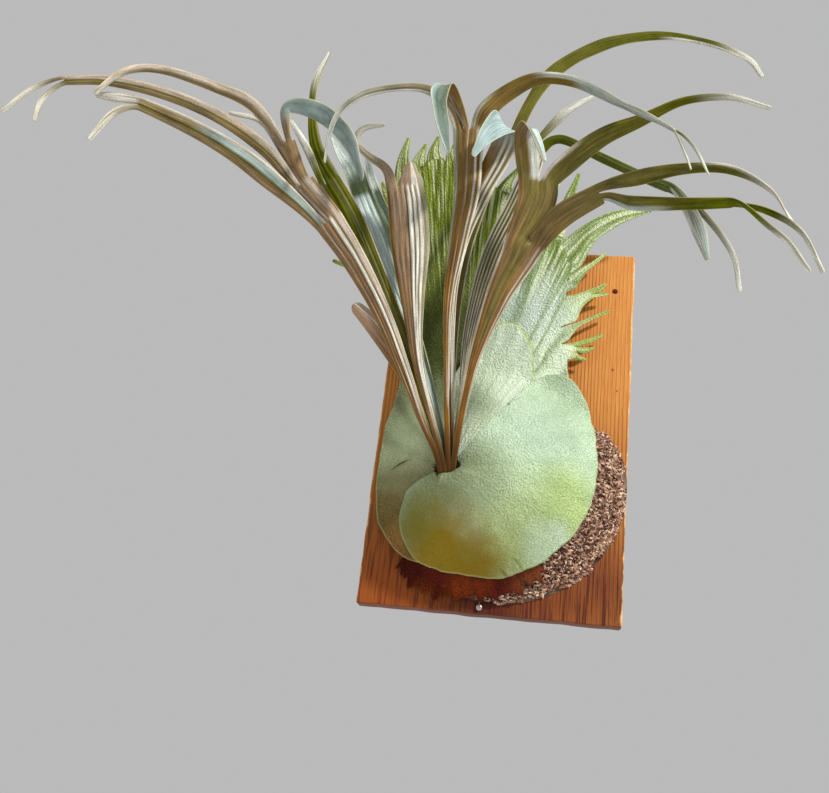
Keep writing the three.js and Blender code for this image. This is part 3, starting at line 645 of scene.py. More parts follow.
def frontRelief(x, z, f, u):
    # the lip by the bud, the fold under the rounded top, swellings at the rim and the wrinkled patch
    lip = 1.5 * (1 - smoothStep(f, 0.02, 0.16)) * smoothStep(u, 0.2, 0.5)
    fold = -1.6 * hump(x + 6 + 0.62 * (z + 20), 7) * smoothStep(z, -45, -8) * (1 - smoothStep(z, 0, 18))
    swell = 2.4 * hump(math.hypot(x - 65, z + 106), 17) + 2 * hump(math.hypot(x - 79, z + 74), 15)
    wrinkle = 0.7 * hump(math.hypot(x - 20, z + 149), 13) * math.sin(0.85 * x + 3 * wander(x, z, 3, 12))
    soft = 1.1 * wander(x, z, 11, 34) + 0.45 * wander(x, z, 5, 13)
    ribs = 0.35 * math.sin(u * 62 + 1.6 * wander(x, z, 2, 30)) * smoothStep(f, 0.25, 0.8)
    return lip + fold + swell + wrinkle + soft * smoothStep(f, 0.1, 0.4) + ribs


def nearLine(x, z, start, end, width):
    # 1 on a line between two places, falling away over its width
    a, b, place = Vector(start), Vector(end), Vector((x, z))
    share = max(0, min(1, (place - a).dot(b - a) / (b - a).length_squared))
    return hump((place - a.lerp(b, share)).length, width)


def pleats(x, z, u, f, count, low, high):
    # upright folds towards the lobes
    turn = u * count + wander(x, z, 6, 40)
    return abs(math.sin(turn)) ** 0.7 * smoothStep(z, low, high) * smoothStep(f, 0.5, 0.8)


def oldRelief(x, z, f, u):
    slit = nearLine(x, z, (-100, -69), (-80, -61), 5) - 1.6 * nearLine(x, z, (-100, -65), (-80, -57), 2.4)
    ribs = 0.16 * math.sin(u * 90 + 2 * wander(x, z, 8, 26)) * smoothStep(f, 0.3, 0.9)
    return ribs + slit + 1.7 * pleats(x, z, u, f, 44, 110, 190)


def crownRelief(x, z, f, u):
    turn = u * 37 + 2 * wander(x, z, 4, 30)
    ribs = 0.15 * math.sin(2 * turn) * smoothStep(f, 0.25, 0.8)
    grooves = 1.1 * abs(math.sin(turn)) ** 5 * smoothStep(f, 0.5, 0.95)
    return ribs + 1.5 * pleats(x, z, u, f, 52, 95, 150) - grooves


def evenPlaces(route, count):
    # places at even steps along a smooth line through the given ones
    points = [Vector(p) for p in route]
    fine = [curvePlace(points, k / 800)[0] for k in range(801)]
    run = [0]
    for a, b in zip(fine, fine[1:]):
        run.append(run[-1] + (b - a).length)
    places, i = [], 0
    for k in range(count + 1):
        goal = run[-1] * k / count
        while i < len(fine) - 2 and run[i + 1] < goal:
            i += 1
        places.append(fine[i].lerp(fine[i + 1], (goal - run[i]) / (run[i + 1] - run[i])))
    return places


def growShield(name, node, shield, material):
    # a fan of fine rows from the bud to the rim, laid on its layer's height; lobes stand on the rim
    sheet = newSheet(shield["seed"])
    bm = sheet["bm"]
    fine, columns = shield["fine"], shield["columns"] * shield["fine"]
    rim = evenPlaces(shield["rim"], columns)
    centre = Vector((bud["x"], bud["z"]))
    inner = shield.get("inner", bud["radius"] + 1.2)
    lip = shield.get("lip", {"reach": 0, "spread": 40, "rise": 0})
    lobes = shield.get("lobes", [])
    lobed = set()
    first = 0
    for lobe in lobes:
        if lobe["path"]:
            lobed.update(range(first * fine + 1, (first + lobe["share"]) * fine))
        first += lobe["share"]
    bmesh.ops.create_grid(bm, x_segments=columns, y_segments=shield["rows"], size=1)
    edge = {}
    for vert in bm.verts:
        u, f = (vert.co.x + 1) / 2, (vert.co.y + 1) / 2
        column = round(u * columns)
        away = rim[column] - centre
        reach = away.length
        tear = wander(u * 260, 0, shield["seed"] * 17, 9) + 0.6 * wander(u * 260, 9, shield["seed"], 4)
        ragged = 0 if column in lobed else shield["ragged"] * f * f * tear
        below = math.degrees(math.atan2(away.y, away.x)) + 90
        closing = hump(below, lip["spread"]) * (1 - smoothStep(f, 0, 0.14))
        x, z = centre + away * (mix(inner, reach + ragged, f) - lip["reach"] * closing) / reach
        y = -board["thickness"] - shield["height"](x, z, f, u) - wall["shield"] / 2 - lip["rise"] * closing
        vert.co = (x, y - shield.get("relief", noRelief)(x, z, f, u), z)
        if f == 1:
            edge[column] = vert
        rimMargin = (1 - f) * (reach - inner) + (3 if column in lobed else 0)
        sideMargin = min(u, 1 - u) * len(shield["rim"]) * 20 + 0.6
        vert[sheet["blade"]] = (u, f * reach * mm, min(rimMargin, sideMargin) * mm)
        vert[sheet["weight"]][0] = wall["papery" if shield.get("thin") else "shield"] / wall["thickest"]
    row = [edge[k] for k in range(columns + 1)]
    first = 0
    style = {"rib": 0.25, "ribs": 5, "wave": 0.5, "waveLength": 8, "step": 3, "taper": False,
             "columns": columns}
    for lobe in lobes:
        ids = row[first:first + lobe["share"] * fine + 1]
        if lobe["path"]:
            middle = (ids[0].co + ids[-1].co) / 2
            tangent = (Vector(lobe["path"][0][:3]) - middle).normalized()
            growBranch(sheet, {
                "row": ids, "centre": middle, "tangent": tangent, "tone": (0, 0, 0),
                "facing": squared(Vector((0, -1, 0)), tangent),
                "width": (ids[0].co - ids[-1].co).length, "first": first, "style": style, "roll": 0,
                "travelled": 100, "remaining": 999, "cup": 0.3, "tipFelt": 0.1, "bands": []},
                {**lobe, "tone": (0, 1, 0)})
        first += lobe["share"] * fine
    finishSheet(sheet, name, node, [material, material], 0, Vector((0, -1, 0)))


shieldFront = {
    "seed": 3, "columns": 28, "fine": 6, "rows": 66, "height": frontHeight, "relief": frontRelief,
    "ragged": 1.2, "lip": {"reach": 6.8, "spread": 92, "rise": 3},
    "rim": [(27, 24), (43, 32), (61, 27), (75, 12), (85, -14), (90, -54), (86, -86), (75, -111), (61, -128),
        (43, -145), (24, -153), (8, -159), (-23, -158), (-50, -154), (-66, -147), (-77, -136), (-84, -118),
        (-84, -102), (-80, -88)],
}
shieldMiddle = {
    "seed": 5, "columns": 15, "fine": 7, "rows": 52, "height": middleHeight, "relief": crownRelief,
    "inner": 14.5, "ragged": 0.8,
    "rim": [(-66, -40), (-68, -15), (-60, 8), (-49, 30), (-34, 55), (-17, 75), (-1, 80), (14, 73), (24, 55),
        (28, 32), (41, 14)],
}
shieldLeft = {
    "seed": 7, "columns": 28, "fine": 7, "rows": 60, "height": leftHeight, "relief": oldRelief,
    "ragged": 1.2,
    "rim": [(-40, -148), (-58, -150), (-76, -146), (-92, -134), (-107, -112), (-113, -84), (-113, -55),
        (-111, -21), (-105, 6), (-102, 28), (-107, 57), (-114, 93), (-120, 134), (-129, 168), (-127, 196),
        (-115, 222), (-97, 240), (-76, 246), (-54, 240), (-31, 226), (-8, 208)],
    "lobes": [
        fork(13), fork(1, [[-134, -77, 107, 7], [-152, -82, 121, 5], [-172, -87, 127, 3.5]]), fork(4),
        fork(2, [[-145, -81, 190, 16], [-155, -86, 212, 10], [-161, -89, 226, 4]]),
        fork(1, [[-132, -83, 210, 8], [-136, -85, 218, 4]]),
        fork(1, [[-118, -88, 238, 14], [-117, -92, 254, 8], [-115, -93, 266, 4]]),
        fork(1, [[-101, -91, 247, 11], [-97, -93, 259, 4]]),
        fork(1, [[-87, -92, 254, 12], [-85, -94, 268, 4]]),
        fork(1, [[-69, -91, 254, 11], [-66, -92, 264, 4]]),
        fork(1, [[-48, -90, 248, 11], [-42, -92, 262, 4]]),
        fork(1, [[-28, -87, 238, 10], [-20, -89, 252, 4]]),
        fork(1, [[-12, -84, 226, 10], [-3, -86, 240, 4]])],
}
shieldCrown = {
    "seed": 9, "columns": 22, "fine": 7, "rows": 60, "height": crownHeight, "relief": crownRelief,
    "ragged": 1,
    "rim": [(-1, 204), (14, 202), (30, 194), (44, 181), (53, 156), (52, 124), (50, 100), (49, 80), (57, 62),
        (60, 44), (70, 17), (83, -21), (88, -60), (85, -87), (71, -112), (50, -134)],
    "lobes": [
        fork(1, [[9, -60, 226, 9], [12, -63, 247, 4]]),
        fork(1, [[28, -58, 222, 10], [36, -63, 243, 8], [44, -66, 262, 4]]),
        fork(1, [[45, -56, 213, 11], [51, -62, 231, 8], [57, -66, 249, 4]]),
        fork(2, [[70, -53, 190, 22], [92, -58, 204, 17], [112, -61, 211, 11], [130, -63, 214, 4]]),
        fork(1, [[67, -46, 152, 8], [78, -42, 164, 4.5], [88, -38, 176, 3]]),
        fork(2, [[64, -38, 123, 17], [76, -35, 133, 10]], forks=[
            fork(1, [[83, -33, 139, 6], [90, -32, 145, 3]]),
            fork(1, [[84, -32, 134, 5], [92, -31, 136, 3]])]),
        fork(1, [[64, -35, 97, 6], [78, -32, 107, 3.5], [94, -30, 117, 3]]),
        fork(1, [[64, -32, 72, 17]], forks=[
            fork(1, [[76, -31, 83, 5], [89, -29, 91, 3]]),
            fork(1, [[73, -31, 73, 6], [81, -30, 76, 3]]),
            fork(1, [[68, -30, 65, 5], [74, -30, 64, 3]])]), fork(12)],
}
shieldPapery = {
    "seed": 13, "columns": 12, "fine": 12, "rows": 26, "height": paperyHeight, "ragged": 7, "thin": True,
    "rim": [(52, -149), (39, -160), (18, -171), (-13, -176), (-49, -174), (-77, -164), (-88, -155)],
}

feltShieldLook = {
    "base": (212, 236, 202), "dark": (184, 212, 172), "hairSize": 1, "cover": 0.5, "dusting": 0.3,
    "felt": (232, 248, 232), "pitTintAndShadeAmount": 0.34, "pitTintAndShade": (122, 154, 108), "veinCount": 26, "veins": 0.2,
    "vein": (140, 168, 104), "lobe": (96, 128, 24), "lobeFelt": (206, 226, 196), "rim": 0.4,
    "rimColour": (206, 222, 160), "roughness": 0.62, "spots": [],
}
frontLook = {
    **feltShieldLook,
    # the pale spot at (26, -48) is a painted highlight, the small pale ones at (46, -130) and (60, -118)
    # painted glints on the swellings, and the dark one at (-30, -84) painted shade round the bud
    "spots": [spot(26, -48, 44, (206, 232, 208), 0.7, 0.6), spot(62, -96, 32, (188, 214, 116), 0.85, 0.5),
        spot(8, -100, 38, (180, 202, 146), 0.7, 0.7), spot(-30, -84, 30, (148, 158, 122), 0.85, 0.7),
        spot(16, -138, 30, (164, 176, 84), 0.8, 0.7), spot(-62, -104, 30, (130, 136, 62), 0.8, 0.6),
        spot(46, -130, 13, (206, 232, 200), 0.7, 0.7), spot(60, -118, 8, (222, 242, 222), 0.6, 0.7)],
    # the yellow patches here are the shield's own colour; (-21, -74) is painted shade round the bud, (2, 10)
    # a painted highlight on the top, the crease from (-1, -14) to (17, 2) a painted shade line along the
    # shield's upper edge, and the two short creases low down painted shade in the wrinkle's folds
    "stainsShadeAndLight": [spot(-44, -150, 40, (156, 128, 0), 0.97, 0.5), spot(-10, -158, 24, (146, 120, 0), 0.92, 0.6),
        spot(-70, -120, 20, (126, 120, 24), 0.7, 0.6), spot(7, -7, 1.6, (40, 54, 30), 0.95, 0.3),
        spot(-21, -74, 24, (126, 138, 98), 0.65, 0.8), spot(2, 10, 34, (224, 246, 218), 0.55, 0.8),
        *crease((-1, -14), (17, 2), 1, 8, 1.4, (120, 146, 96), 0.5),
        *crease((9, -150), (20, -157), -2, 7, 1.2, (96, 90, 44), 0.55),
        *crease((22, -144), (31, -153), 2, 7, 1.2, (96, 90, 44), 0.55)],
}
crownLook = {
    **feltShieldLook, "base": (234, 252, 234), "dark": (204, 230, 194), "veins": 0.6, "veinCount": 20,
    "vein": (112, 138, 40), "lobe": (150, 172, 30), "lobeFelt": (228, 238, 196), "stripes": (0.1, 0.15),
    "stripeCount": 80,
    # the pale spot at (42, 66) is painted light on the crown's lower part, which the fronds shade
    "spots": [spot(72, 160, 44, (150, 172, 66), 0.6, 0.6), spot(34, 196, 44, (120, 142, 22), 0.85, 0.6),
        spot(42, 66, 38, (240, 255, 226), 0.9, 0.6), spot(20, 120, 30, (222, 240, 236), 0.7, 0.6)],
}
middleLook = {
    # base and dark are paler than the front shield's: painted light that lifts this shield out of the fronds'
    # shade; the pale spot at (12, 46) is painted light too
    **feltShieldLook, "base": (242, 255, 236), "dark": (222, 244, 206), "veins": 0.12, "rim": 0.85,
    "pitTintAndShadeAmount": 0.2, "rimColour": (186, 214, 84),
    "spots": [spot(-58, -10, 40, (120, 134, 82), 0.85, 0.6), spot(12, 46, 30, (236, 255, 224), 0.6)],
}
leftLook = {
    **feltShieldLook, "base": (128, 124, 72), "dark": (92, 86, 40), "felt": (196, 196, 156),
    "dusting": 0.16, "vein": (56, 66, 12), "veins": 0.5, "lobe": (124, 158, 8), "lobeFelt": (214, 222, 178),
    "rimColour": (200, 200, 140), "pitTintAndShade": (66, 62, 30), "pitTintAndShadeAmount": 0.3, "stripes": (0.1, 0.16),
    "stripeCount": 190,
    # the pale spot at (-84, -24) is pale tissue lifted further by painted light where the fronds shade it,
    # and the dark one at (-50, 60) is painted shade behind the fronds
    "spots": [spot(-96, 60, 60, (98, 112, 48), 0.7, 0.5), spot(-60, 190, 92, (142, 164, 24), 1, 0.5),
        spot(-50, 60, 60, (70, 84, 26), 0.9, 0.5), spot(-100, -104, 40, (134, 112, 58), 0.7, 0.5),
        spot(-90, -142, 28, (160, 112, 50), 0.85, 0.5), spot(-84, -24, 44, (208, 224, 178), 0.95, 0.6),
        spot(-104, 10, 22, (176, 188, 140), 0.7, 0.6), spot(-124, 150, 36, (214, 196, 166), 0.85, 0.5)],
    # the first crease gives the slit's pale edges; the dark second one is painted shade inside the slit
    "stainsShadeAndLight": [*crease((-101, -69), (-80, -60), 1, 9, 2.2, (166, 128, 96), 0.3),
        *crease((-101, -66), (-80, -58), 1.5, 16, 0.95, (40, 26, 14), 0.9)],
}
paperyLook = {
    **feltShieldLook, "base": (112, 30, 8), "dark": (52, 8, 2), "felt": (160, 80, 36), "dusting": 0.08,
    "vein": (30, 8, 4), "veins": 0.25, "rimColour": (122, 48, 18), "rim": 0.3, "pitTintAndShade": (24, 6, 2),
    "pitTintAndShadeAmount": 0.6, "roughness": 0.85,
    "spots": [spot(46, -158, 20, (150, 84, 44), 0.7), spot(-26, -170, 12, (166, 70, 8), 0.7, ragged=1.4),
        spot(-4, -166, 8, (150, 60, 8), 0.6, ragged=1.4),
        spot(-60, -172, 9, (150, 64, 10), 0.6, ragged=1.4), spot(-84, -148, 22, (70, 14, 4), 0.7)],
}

for name, node, slot, shield, material, look in (
        ("shieldPaperyBase", "shield_papery_base", "dry_papery_shield", shieldPapery, "paperyShield",
         paperyLook),
        ("shieldLeft", "shield_left", "old_olive_shield", shieldLeft, "oliveShield", leftLook),
        ("shieldCrown", "shield_crown", "pale_felted_shield", shieldCrown, "crownShield", crownLook),
        ("shieldMiddle", "shield_middle", "pale_felted_shield", shieldMiddle, "middleShield", middleLook),
        ("shieldFront", "shield_front", "pale_felted_shield", shieldFront, "frontShield", frontLook)):
    growShield(name, node, shield, shieldMaterial(material, look))


# Fertile fronds

frondLeftLong = {
    "seed": 1, "columns": 8, "fine": 5, "root": (-7, -6), "toneAtRoot": (0.03, 0.1, 0),
    "style": {"rib": 0.5, "tipFelt": 0.6},
    "trunk": fork(1, [[-68, -110, -35, 6.5], [-86, -127, 4, 12], [-109, -147, 48, 17], [-135, -167, 86, 23],
        [-158, -183, 113, 28]], tone=(0.16, 0.2, 0),
        bands=[band(-0.55, -0.45, (0.35, 0.1, 0), along=(30, 400)),
        band(0.14, 0.3, (0.85, 0, 0.3), 1, along=(30, 400)),
        band(0.34, 0.44, (0, 0.9, 0.2), along=(30, 400)), band(0.5, 0.9, (0.5, 0, 0), along=(60, 400)),
        band(0.92, 1.2, (0.9, 0.1, 0), along=(20, 400))], forks=[
        fork(3, [[-212, -212, 138, 19], [-245, -227, 155, 17], [-279, -241, 167, 15],
            [-318, -259, 175, 12]], tone=(0.16, 0.5, 0),
            bands=[band(-0.1, 0.9, (0.06, 0.1, 0.85), along=(222, 375)), band(-0.2, 0, (0, 1, 0), -0.5),
            band(0.75, 1.2, (0.7, 0.1, 0))], forks=[
            fork(1, [[-331, -270, 157, 7], [-343, -276, 127, 5]], tone=(0.3, 0.5, 0)),
            fork(2, [[-337, -265, 176, 9], [-351, -267, 176, 5]], tone=(0.4, 0.2, 0))]),
        fork(5, [[-184, -193, 145, 22]], tone=(0.16, 0.25, 0), bands=[band(-0.7, -0.5, (0.6, 0, 0.1)),
            band(0.1, 0.7, (0.45, 0, 0))], forks=[
            fork(2, [[-220, -208, 169, 13], [-258, -234, 183, 12], [-300, -258, 187, 11],
                [-342, -276, 184, 9], [-372, -288, 174, 8]], tone=(0.1, 0.5, 0.1),
                bands=[band(0.15, 1.2, (0.45, 0, 0)), band(-0.1, 0.1, (0, 1, 0), -0.4)], forks=[
                fork(1, [[-384, -292, 152, 5], [-382, -297, 128, 4]]),
                fork(1, [[-396, -293, 160, 5], [-411, -297, 136, 4]])]),
            fork(3, [[-204, -201, 180, 20]], tone=(0.16, 0.3, 0), forks=[
                fork(1, [[-229, -206, 200, 6], [-255, -212, 203, 4]], tone=(0.3, 0.3, 0.1)),
                fork(1, [[-236, -214, 211, 12], [-266, -232, 215, 10], [-307, -255, 214, 8],
                    [-330, -273, 197, 7], [-340, -290, 162, 5]], tone=(0.1, 0.5, 0.1),
                    bands=[band(0.1, 1.2, (0.5, 0, 0))]),
                fork(1, [[-207, -208, 214, 13, 0], [-180, -213, 208, 18, 20], [-149, -216, 181, 21, 30],
                    [-129, -217, 142, 13, 40]], tone=(0, 0, 0.6), tipFelt=0.1,
                    bands=[band(-1.2, 1.2, (0.06, 0, 0.9), along=(350, 900)),
                    band(-0.1, 0.1, (0.5, 0, 0.4))])])])]),
}
frondLeftOlive = {
    "seed": 2, "columns": 4, "fine": 7, "root": (-6, 1), "toneAtRoot": (0.03, 0.6, 0),
    "style": {"rib": 0.5},
    "trunk": fork(1, [[-62, -104, -29, 6], [-87, -119, 26, 13], [-118, -137, 85, 19], [-147, -152, 137, 23],
        [-169, -161, 169, 22]], tone=(0, 1, 0), bands=[band(-1.2, -0.7, (0.25, 0.6, 0.3)),
        band(0.1, 0.2, (0, 0.9, 0.3), -0.7), band(0.3, 0.36, (0.3, 0.6, 0), 0.8),
        band(0.46, 0.56, (0, 0.9, 0.1), -0.6), band(0.9, 1.2, (0.5, 0.5, 0))], forks=[
        fork(1, [[-193, -168, 197, 8], [-212, -172, 225, 4]], tone=(0.1, 0.9, 0)),
        fork(3, [[-187, -165, 205, 13], [-198, -163, 250, 8], [-200, -160, 285, 8], [-194, -155, 319, 5]],
            tone=(0.02, 1, 0), bands=[band(0.6, 1.2, (0.25, 0.8, 0))])]),
}
frondLeftBlue = {
    "seed": 3, "columns": 4, "fine": 7, "root": (-1, 1), "upperSideOut": True,
    "toneAtRoot": (0.05, 0.6, 0.3), "style": {"rib": 0.6},
    "trunk": fork(1, [[-58, -100, -16, 6], [-81, -111, 44, 11], [-103, -118, 96, 22], [-120, -125, 136, 30],
        [-139, -130, 174, 28]], tone=(0, 0.9, 0.1), bands=[band(-1.2, 0.12, (0.12, 0.8, 0.2)),
        band(-0.12, 0, (0.7, 0, 0.6), 0.7), band(0.02, 1.2, (0.62, 0, 1)),
        band(0.5, 0.62, (0.9, 0, 0.6), 0.5)], forks=[
        fork(1, [[-138, -133, 195, 8], [-144, -135, 212, 4]]),
        fork(3, [[-157, -134, 203, 19], [-170, -137, 220, 13], [-178, -139, 231, 6]])]),
}
frondCentreWide = {
    "seed": 4, "columns": 6, "fine": 7, "root": (-2.5, -6),
    "style": {"rib": 0.3, "ribs": 7, "tipFelt": 0.5}, "toneAtRoot": (0.05, 0.2, 0),
    "trunk": fork(1, [[-57, -109, -38, 5.5], [-74, -124, 12, 10.5], [-83, -139, 63, 22],
        [-89, -150, 107, 36], [-95, -159, 146, 38], [-99, -163, 163, 36]], tone=(0.24, 0.1, 0),
        bands=[band(-0.95, -0.82, (0, 0.3, 0), -0.5), band(-0.02, 0.06, (0, 0.9, 0.1), -0.7),
        band(0.08, 0.22, (0.95, 0, 0), 1.3), band(0.24, 0.3, (0, 0.9, 0.2), -0.8),
        band(0.32, 0.44, (0.95, 0, 0.1), 1.3), band(0.46, 0.52, (0, 0.9, 0.2), -0.8),
        band(0.55, 0.7, (0.95, 0, 0), 1.1), band(0.72, 0.78, (0.1, 0.7, 0.2), -0.6),
        band(0.84, 1.2, (0.35, 1, 0))], forks=[
        fork(2, [[-117, -167, 180, 9], [-134, -171, 191, 7], [-147, -176, 203, 6], [-141, -182, 213, 6],
            [-123, -185, 215, 4]], tone=(0.25, 0.7, 0)),
        fork(4, [[-94, -166, 171, 23], [-95, -168, 179, 13]], tone=(0.2, 0, 0), tipFelt=0.1,
            bands=[band(0.1, 0.5, (0.9, 0, 0)), band(0.7, 1.2, (0.4, 1, 0))])]),
}
frondCentreTall = {
    "seed": 5, "columns": 6, "fine": 6, "root": (2, -6), "toneAtRoot": (0.03, 0, 0), "style": {"rib": 0.5},
    "trunk": fork(1, [[-45, -104, -35, 4.5], [-49, -117, 17, 5.5], [-52, -129, 70, 9.5],
        [-48, -141, 125, 17], [-44, -151, 171, 25], [-46, -159, 212, 29], [-46, -163, 229, 32]],
        tone=(0.1, 0.4, 0), bands=[band(-1.2, -0.7, (0.4, 1, 0), along=(190, 400)),
        band(-0.1, 0, (0.3, 0.1, 0), 0.5, along=(60, 400)),
        band(0.45, 0.58, (0.7, 0, 0), 0.9, along=(60, 400)),
        band(0.62, 0.74, (0, 0.5, 0), -0.6, along=(60, 400)),
        band(0.82, 1.2, (0.85, 0.1, 0), along=(20, 400))], forks=[
        fork(2, [[-67, -173, 250, 12], [-91, -194, 250, 8], [-129, -216, 227, 7], [-149, -230, 198, 7],
            [-155, -236, 168, 6], [-154, -240, 137, 4]], tone=(0.05, 0, 0.9), tipFelt=0.15,
            bands=[band(-1.2, -0.3, (0.6, 0, 0.4))]),
        fork(1, [[-60, -175, 252, 12, -20], [-68, -192, 255, 15, -50], [-72, -206, 232, 18, -85],
            [-66, -213, 200, 17, -95], [-57, -217, 169, 8, -95]], tone=(0, 0, 0.16), tipFelt=0,
            bands=[band(-1.2, -0.4, (0.1, 0, 0.6))]),
        fork(3, [[-33, -169, 244, 19], [-15, -175, 261, 17], [12, -185, 270, 13], [45, -198, 258, 10, 0],
            [83, -216, 222, 10, 40], [116, -234, 189, 13, 70], [129, -241, 176, 15, 76]],
            tone=(0.02, 0.8, 0), bands=[band(-1.2, -0.55, (0.45, 1, 0), along=(270, 350)),
            band(-1.2, -0.1, (0.5, 0, 0.7), along=(400, 700)),
            band(-0.1, 1.2, (0.2, 0.1, 0.8), along=(440, 700))], forks=[
            fork(1, [[134, -247, 157, 8, 72], [140, -252, 134, 4, 64]], tone=(0.4, 0, 0.8), tipFelt=0.3),
            fork(2, [[143, -246, 158, 10, 72], [153, -252, 130, 5, 64]], tone=(0.4, 0, 0.8),
                tipFelt=0.3)])]),
}
frondCentreBlue = {
    "seed": 6, "columns": 4, "fine": 7, "root": (4, 1), "toneAtRoot": (0.05, 0, 0),
    "style": {"rib": 0.3, "tipFelt": 0.1},
    "trunk": fork(1, [[-41, -99.5, -34, 4.5], [-46, -110, 19, 6], [-50, -121, 72, 9], [-47, -131, 123, 13],
        [-35, -142, 169, 20], [-19, -153, 205, 25], [-10, -171, 222, 27, -20], [-17, -190, 216, 26, -50],
        [-27, -203, 196, 19, -75], [-34, -209, 173, 9, -80]], tone=(0.05, 0.3, 0.3),
        bands=[band(-1.2, -0.2, (0.02, 0.3, 0), along=(0, 290)), band(0, 0.14, (0.9, 0, 0.1), 1.1),
        band(0.2, 0.32, (0, 0.9, 0.1), -0.7), band(0.4, 0.54, (0.9, 0, 0.1), 1),
        band(0.6, 0.72, (0, 0.9, 0.1), -0.7), band(0.8, 1.2, (0.95, 0, 0)),
        band(-1.2, 1.2, (0.12, 0, 0.9), along=(310, 700))]),
}
frondRightMain = {
    "seed": 7, "columns": 10, "fine": 5, "root": (6.5, -6), "toneAtRoot": (0.03, 0, 0),
    "style": {"rib": 0.45},
    "trunk": fork(1, [[-32, -108, -36, 5.5], [-24, -123, 16, 9.5], [-9, -138, 68, 22], [8, -151, 106, 34],
        [12, -155, 116, 39]], tone=(0.12, 0.3, 0), bands=[band(-1.2, -0.9, (0.7, 0.1, 0), along=(40, 400)),
        band(-0.45, 0.3, (0.1, 0.6, 0), along=(120, 400)),
        band(0.66, 0.76, (0.45, 0, 0), 0.7, along=(40, 400)),
        band(0.8, 0.86, (0, 0.2, 0), -0.5, along=(40, 400)),
        band(0.92, 1.2, (0.8, 0.1, 0), along=(20, 400))], forks=[
        fork(6, [[20, -166, 152, 36], [21, -171, 170, 37]], tone=(0.1, 0.7, 0),
            bands=[band(-0.08, 1.2, (0.1, 0.6, 0), along=(0, 250)), band(-1.2, -0.75, (0.15, 0.05, 0))],
            forks=[
            fork(3, [[10, -178, 191, 23], [7, -187, 206, 21], [9, -198, 208, 18], [16, -208, 191, 13],
                [25, -212, 166, 6]], tone=(0.1, 0, 0), tipFelt=0.2, bands=[band(0.2, 1.2, (0.5, 0, 0.7))]),
            fork(3, [[44, -179, 184, 20], [74, -198, 200, 17], [106, -215, 206, 11], [137, -230, 214, 7],
                [171, -240, 211, 6], [202, -244, 199, 4]], tone=(0.02, 1, 0),
                bands=[band(-1.2, -0.55, (0.7, 0, 0), along=(0, 310))])]),
        fork(4, [[42, -173, 133, 22], [74, -193, 145, 19]], tone=(0.1, 0.7, 0),
            bands=[band(-1.2, -0.75, (0.1, 0.6, 0), along=(0, 240))], forks=[
            fork(2, [[104, -210, 151, 14], [139, -222, 153, 10], [173, -232, 147, 8, 0],
                [202, -239, 125, 6, 40], [217, -242, 96, 5, 80]], tone=(0.03, 1, 0),
                bands=[band(-1.2, -0.5, (0.7, 0.1, 0.2), along=(380, 800))]),
            fork(2, [[100, -210, 126, 13], [139, -226, 117, 11], [174, -241, 110, 9]], tone=(0.03, 1, 0),
                bands=[band(0.3, 1.2, (0.3, 0, 0.9), along=(270, 350))], forks=[
                fork(1, [[198, -252, 84, 5], [212, -257, 66, 5], [224, -260, 43, 4]]),
                fork(1, [[197, -249, 99, 6], [221, -255, 78, 5], [234, -258, 44, 4]])])])]),
}
frondBackTall = {
    "seed": 8, "columns": 3, "fine": 7, "root": (0, 7), "toneAtRoot": (0.03, 0.6, 0.1),
    "trunk": fork(1, [[-43, -96, -13, 4.5], [-46, -104, 53, 6.5], [-43, -111, 122, 8.5],
        [-30, -116, 185, 9.5], [-12, -119, 240, 11], [4, -121, 290, 12], [25, -126, 327, 15],
        [67, -131, 356, 14], [119, -138, 364, 10], [168, -146, 350, 7], [205, -151, 327, 6],
        [217, -153, 306, 4]], tone=(0, 1, 0), bands=[band(0.7, 1.2, (0.6, 0.3, 0), along=(60, 330)),
        band(0.3, 1.2, (0.8, 0.1, 0.1), along=(530, 900))]),
}
frondBackLow = {
    "seed": 9, "columns": 4, "fine": 9, "root": (5, 7), "toneAtRoot": (0.05, 0.6, 0.1),
    "style": {"rib": 0.2},
    "trunk": fork(1, [[-35, -95, -12, 5], [-32, -104, 54, 13], [-19, -113, 124, 21], [3, -119, 185, 23],
        [16, -123, 236, 17]], tone=(0, 1, 0), bands=[band(-1.2, -0.8, (0.85, 0, 0.1)),
        band(-0.6, -0.5, (0.6, 0.3, 0), 0.9), band(-0.3, -0.2, (0.6, 0.3, 0), 0.9),
        band(0.02, 0.12, (0.6, 0.3, 0), 0.9), band(0.32, 0.42, (0.6, 0.3, 0), 0.9),
        band(0.6, 0.7, (0.6, 0.3, 0), 0.9), band(0.85, 1.2, (0.85, 0, 0.1))], forks=[
        fork(1, [[34, -129, 270, 10], [51, -133, 284, 7], [70, -137, 292, 4]], tone=(0.35, 0.5, 0.2)),
        fork(3, [[36, -129, 247, 9], [77, -140, 219, 9], [115, -156, 188, 9], [135, -165, 173, 10]],
            tone=(0.02, 1, 0.1), forks=[
            fork(2, [[150, -175, 145, 12], [158, -181, 120, 13], [164, -184, 94, 5]], tone=(0.1, 0, 1),
                tipFelt=0.2, bands=[band(0.3, 1.2, (0.6, 0, 0.5))]),
            fork(1, [[159, -174, 146, 6], [183, -188, 98, 5], [188, -194, 60, 4]],
                tone=(0.4, 0.1, 0.5))])]),
}
frondYoungLeft = {
    "seed": 10, "columns": 3, "fine": 7, "root": (-5, 7), "toneAtRoot": (0.1, 0.1, 0),
    "style": {"tipFelt": 0.15},
    "trunk": fork(1, [[-67, -97, -36, 7], [-83, -104, -2, 11], [-101, -110, 26, 18], [-119, -116, 47, 18],
        [-134, -119, 60, 13]], tone=(0.12, 0, 0), bands=[band(0.25, 0.38, (0.7, 0, 0), 0.8),
        band(0.5, 1.2, (0.45, 0, 0))]),
}

